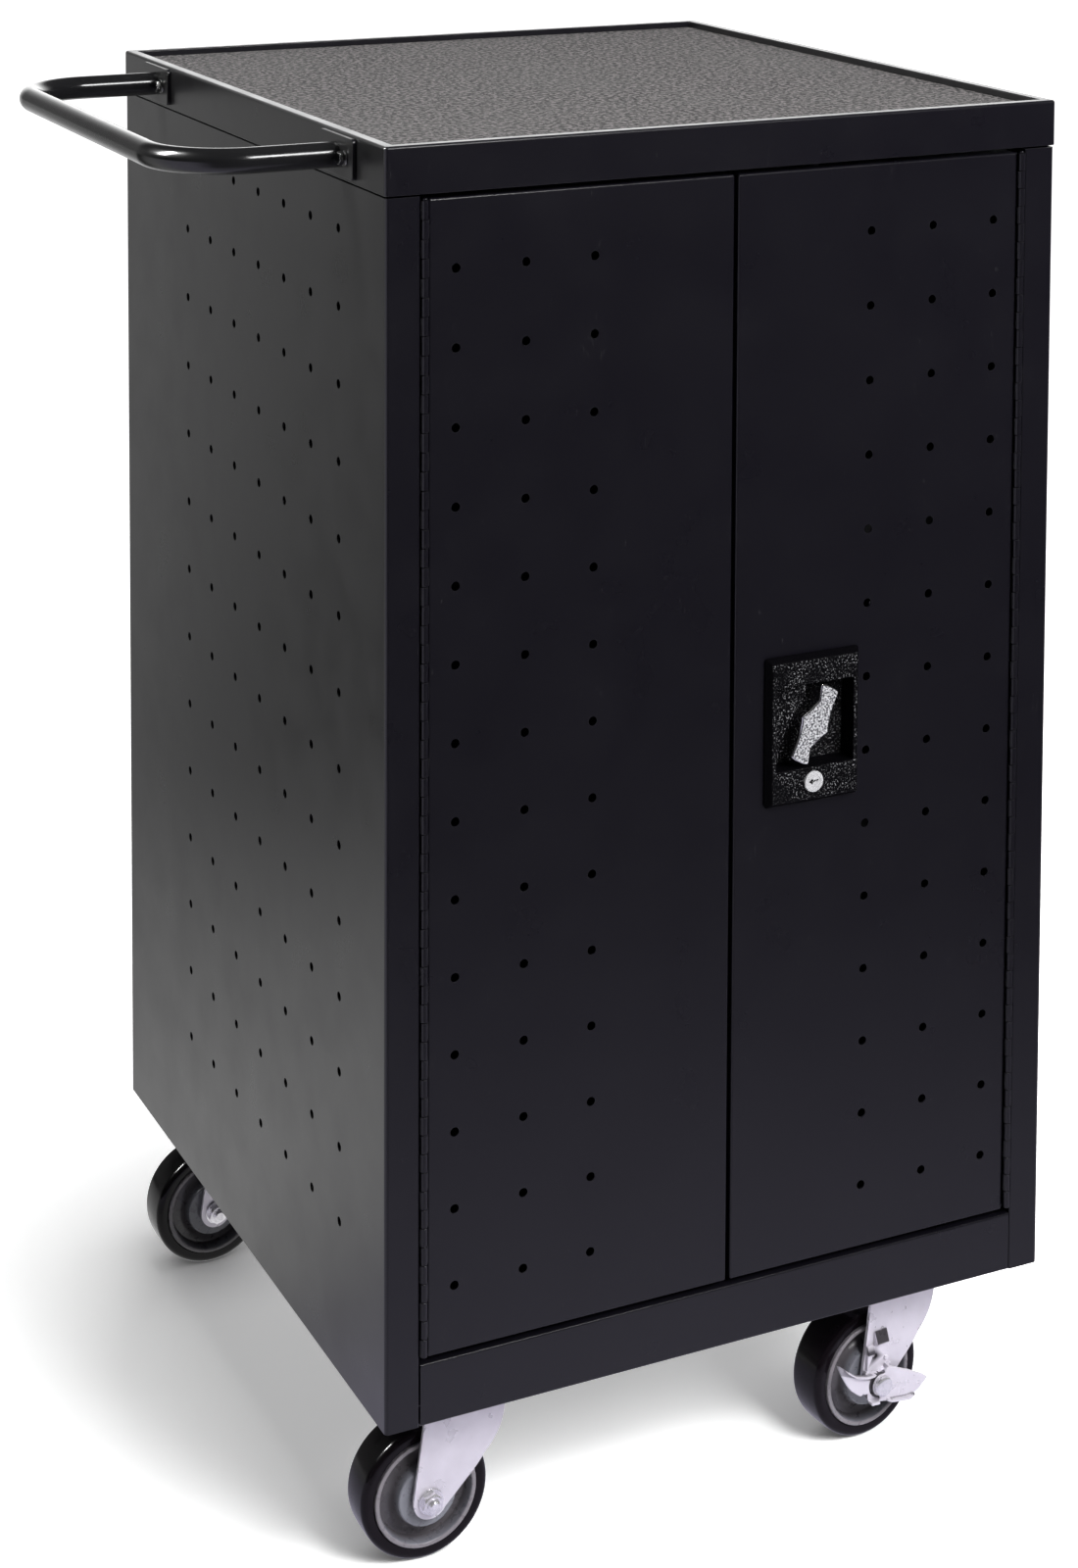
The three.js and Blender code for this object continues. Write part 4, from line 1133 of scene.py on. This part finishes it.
for label in ("front_left", "front_right", "back_left", "back_right"):
    swivel, axle = joint(f"{label}_swivel"), joint(f"{label}_spin")
    heading = math.atan2(swivel.y - axle.y, swivel.x - axle.x)
    placing = Matrix.Translation(axle) @ Matrix.Rotation(heading, 4, "Z")
    node = f"caster_{label}"
    braked = label.endswith("right")
    put(f"{node}_plate", caster_plate(), placing)
    put(f"{node}_fork", caster_fork(), placing)
    put(f"{node}_axle", caster_axle(braked), placing, look="fastener")
    put(f"{node}_tyre", tyre_ring(), placing)
    put(f"{node}_hub", wheel_hub(), placing)
    if braked:
        put(f"{node}_brake_plate", brake_plate(), placing)
        put(f"{node}_brake_pedal", brake_pedal(), placing, 50)

# ---------------------------------------------------------------- floor, light and camera


SWEEP_NEAR = 0.4  # metres from the cart's centre over which the floor's reflection fades
SWEEP_FAR = 1.5


def pale_floor():
    """White floor. In reflections it glows brighter or darker by bearing and distance, a painted reflection.
    For the camera it darkens under the cart and near the wheels, a painted shadow.
    """
    bm = bmesh.new()
    bmesh.ops.create_grid(bm, x_segments=8, y_segments=8, size=20)
    obj = new_object("floor", bm)
    look = Look("floor")
    path = look.add("ShaderNodeLightPath")
    distance = look.add("ShaderNodeVectorMath", {0: look.coords}, operation="LENGTH").outputs["Value"]
    bearing = look.add("ShaderNodeVectorMath", {0: look.coords}, operation="NORMALIZE").outputs["Vector"]
    side = look.add("ShaderNodeSeparateXYZ", {"Vector": bearing})
    # painted reflection: the floor's glow in glossy rays, set by bearing and distance
    behind = look.remap(side.outputs["Y"], -0.2, 0.5, 0, 1)
    back_level = look.remap(side.outputs["X"], -0.49, -0.15, 0.02, 0.82)
    left_level = look.remap(side.outputs["X"], -0.6, -0.9, 0.05, 0.8)
    far_level = look.math("ADD", look.math("MULTIPLY", behind, back_level), left_level)
    near_level = look.math("ADD", look.remap(side.outputs["Y"], 0.3, 0.8, 0.5, 1.0),
                           look.remap(side.outputs["Y"], -0.2, 0.3, 0.1, 0))
    fade = look.remap(distance, SWEEP_NEAR, SWEEP_FAR, 0, 1)
    level = look.math("ADD", look.math("MULTIPLY", fade, far_level),
                      look.math("MULTIPLY", look.math("SUBTRACT", 1.0, fade), near_level))
    white = look.mix(look.noise(900, 2.0), grey(0.90), grey(0.93))
    # painted contact shadow near the wheels, and painted shadow fading towards the cart's middle, for camera
    # rays
    painted_contact_shadow = look.add("ShaderNodeAmbientOcclusion", {"Distance": 0.09}, samples=8).outputs["AO"]
    seen = look.math("MULTIPLY", look.remap(distance, 0.3, 0.6, 0.37, 1.0), painted_contact_shadow)
    # violet tint of the painted reflection towards the front
    tint = look.mix(look.math("MULTIPLY", path.outputs["Is Glossy Ray"], look.math("SUBTRACT", 1.0, behind)),
                    grey(1.0), (1.0, 0.96, 1.2, 1))
    look.set(
        base_color=look.mix(path.outputs["Is Glossy Ray"], white, grey(0)),
        roughness=look.remap(look.noise(60), 0.3, 0.7, 0.6, 0.7),
        specular_ior_level=0.0,
        emission_color=tint,
        emission_strength=look.math(
            "ADD",
            look.math("MULTIPLY", path.outputs["Is Camera Ray"], seen),
            look.math("MULTIPLY", path.outputs["Is Glossy Ray"], level)),
    )
    obj.data.materials.append(look.material)


def studio_world():
    """A bright back wall, brighter to the right, and a dark room otherwise. White where the camera looks."""
    world = bpy.data.worlds.new("studio")
    bpy.context.scene.world = world
    world.use_nodes = True
    nodes, links = world.node_tree.nodes, world.node_tree.links
    nodes.clear()

    def ramp(source, low, high, out_low, out_high):
        node = nodes.new("ShaderNodeMapRange")
        node.interpolation_type = "SMOOTHSTEP"
        links.new(source, node.inputs["Value"])
        for key, value in (("From Min", low), ("From Max", high), ("To Min", out_low), ("To Max", out_high)):
            if isinstance(value, bpy.types.NodeSocket):
                links.new(value, node.inputs[key])
            else:
                node.inputs[key].default_value = value
        return node.outputs["Result"]

    direction = nodes.new("ShaderNodeSeparateXYZ")
    links.new(nodes.new("ShaderNodeTexCoord").outputs["Generated"], direction.inputs[0])
    wall = ramp(direction.outputs["X"], -0.25, 0.45, 0.3, 3.5)
    horizon = ramp(direction.outputs["Y"], 0.1, 0.8, 0.05, wall)
    level = ramp(direction.outputs["Z"], 0.22, 0.5, horizon, 0.1)
    soft = nodes.new("ShaderNodeBackground")
    links.new(level, soft.inputs["Strength"])
    seen = nodes.new("ShaderNodeBackground")
    seen.inputs["Color"].default_value = (1, 1, 1, 1)
    pick = nodes.new("ShaderNodeMixShader")
    links.new(nodes.new("ShaderNodeLightPath").outputs["Is Camera Ray"], pick.inputs[0])
    links.new(soft.outputs[0], pick.inputs[1])
    links.new(seen.outputs[0], pick.inputs[2])
    links.new(pick.outputs[0], nodes.new("ShaderNodeOutputWorld").inputs["Surface"])


def softbox(name, place, target, width, height, power, lights_matt=True, mirrored_in_gloss=True):
    light = bpy.data.lights.new(name, "AREA")
    light.shape = "RECTANGLE"
    light.size, light.size_y = width, height
    light.energy = power
    obj = bpy.data.objects.new(name, light)
    obj.location = place
    obj.rotation_mode = "QUATERNION"
    obj.rotation_quaternion = (Vector(target) - Vector(place)).to_track_quat("-Z", "Y")
    obj.visible_diffuse = lights_matt
    obj.visible_glossy = mirrored_in_gloss
    bpy.context.scene.collection.objects.link(obj)


def shift_lens(camera, standpoint, direction, amount):
    """Shifts the lens while the camera is at the standpoint. From anywhere else the lens is centred."""
    curve = camera.data.driver_add(direction)
    curve.driver.type = "SUM"
    distance = curve.driver.variables.new()
    distance.type = "LOC_DIFF"
    distance.targets[0].id = camera
    distance.targets[1].id = standpoint
    while curve.modifiers:
        curve.modifiers.remove(curve.modifiers[0])
    for metres, value in ((0.01, amount), (0.05, 0.0)):
        curve.keyframe_points.insert(metres, value).interpolation = "LINEAR"


CAMERA_LENS = 68.475  # millimetres, on a 36 mm wide sensor
CAMERA_TURN = (25.08, -4.009, 0.157)  # azimuth, elevation and roll in degrees
CAMERA_PLACE = (-0.7996, -1.8921, 1.3947)  # metres from the cabinet's front left corner
LENS_SHIFT = {"shift_x": 0.02594, "shift_y": -0.5759}


def make_camera():
    """A long lens well to the left, shifted down, so that upright edges stay nearly upright."""
    data = bpy.data.cameras.new("camera")
    data.sensor_width = 36
    data.lens = CAMERA_LENS
    obj = bpy.data.objects.new("camera", data)
    azimuth, elevation, roll = [math.radians(angle) for angle in CAMERA_TURN]
    forward = Vector((math.sin(azimuth) * math.cos(elevation), math.cos(azimuth) * math.cos(elevation),
                      math.sin(elevation)))
    aim = forward.to_track_quat("-Z", "Y").to_matrix().to_4x4()
    place = ORIGIN + Vector(CAMERA_PLACE)
    obj.matrix_world = Matrix.Translation(place) @ aim @ Matrix.Rotation(roll, 4, "Z")
    standpoint = bpy.data.objects.new("standpoint", None)
    standpoint.location = place
    for item in (obj, standpoint):
        bpy.context.scene.collection.objects.link(item)
    for direction, amount in LENS_SHIFT.items():
        shift_lens(obj, standpoint, direction, amount)
    bpy.context.scene.camera = obj


pale_floor()
studio_world()
softbox("overhead", (0.2, 0.0, 2.8), (0.1, -0.1, 0), 1.6, 0.8, 35, mirrored_in_gloss=False)
softbox("left strip", (-1.7, 0.4, 2.3), (0, 0, 0.2), 0.16, 0.9, 220, lights_matt=False)
softbox("front", (0.5, -2.1, 2.3), (-0.1, -0.2, 0.6), 0.6, 0.5, 30)
softbox("fill", (1.1, -2.1, 2.1), (0.1, -0.3, 0), 2.2, 1.4, 140, mirrored_in_gloss=False)
make_camera()
bpy.context.scene.view_settings.view_transform = "Standard"
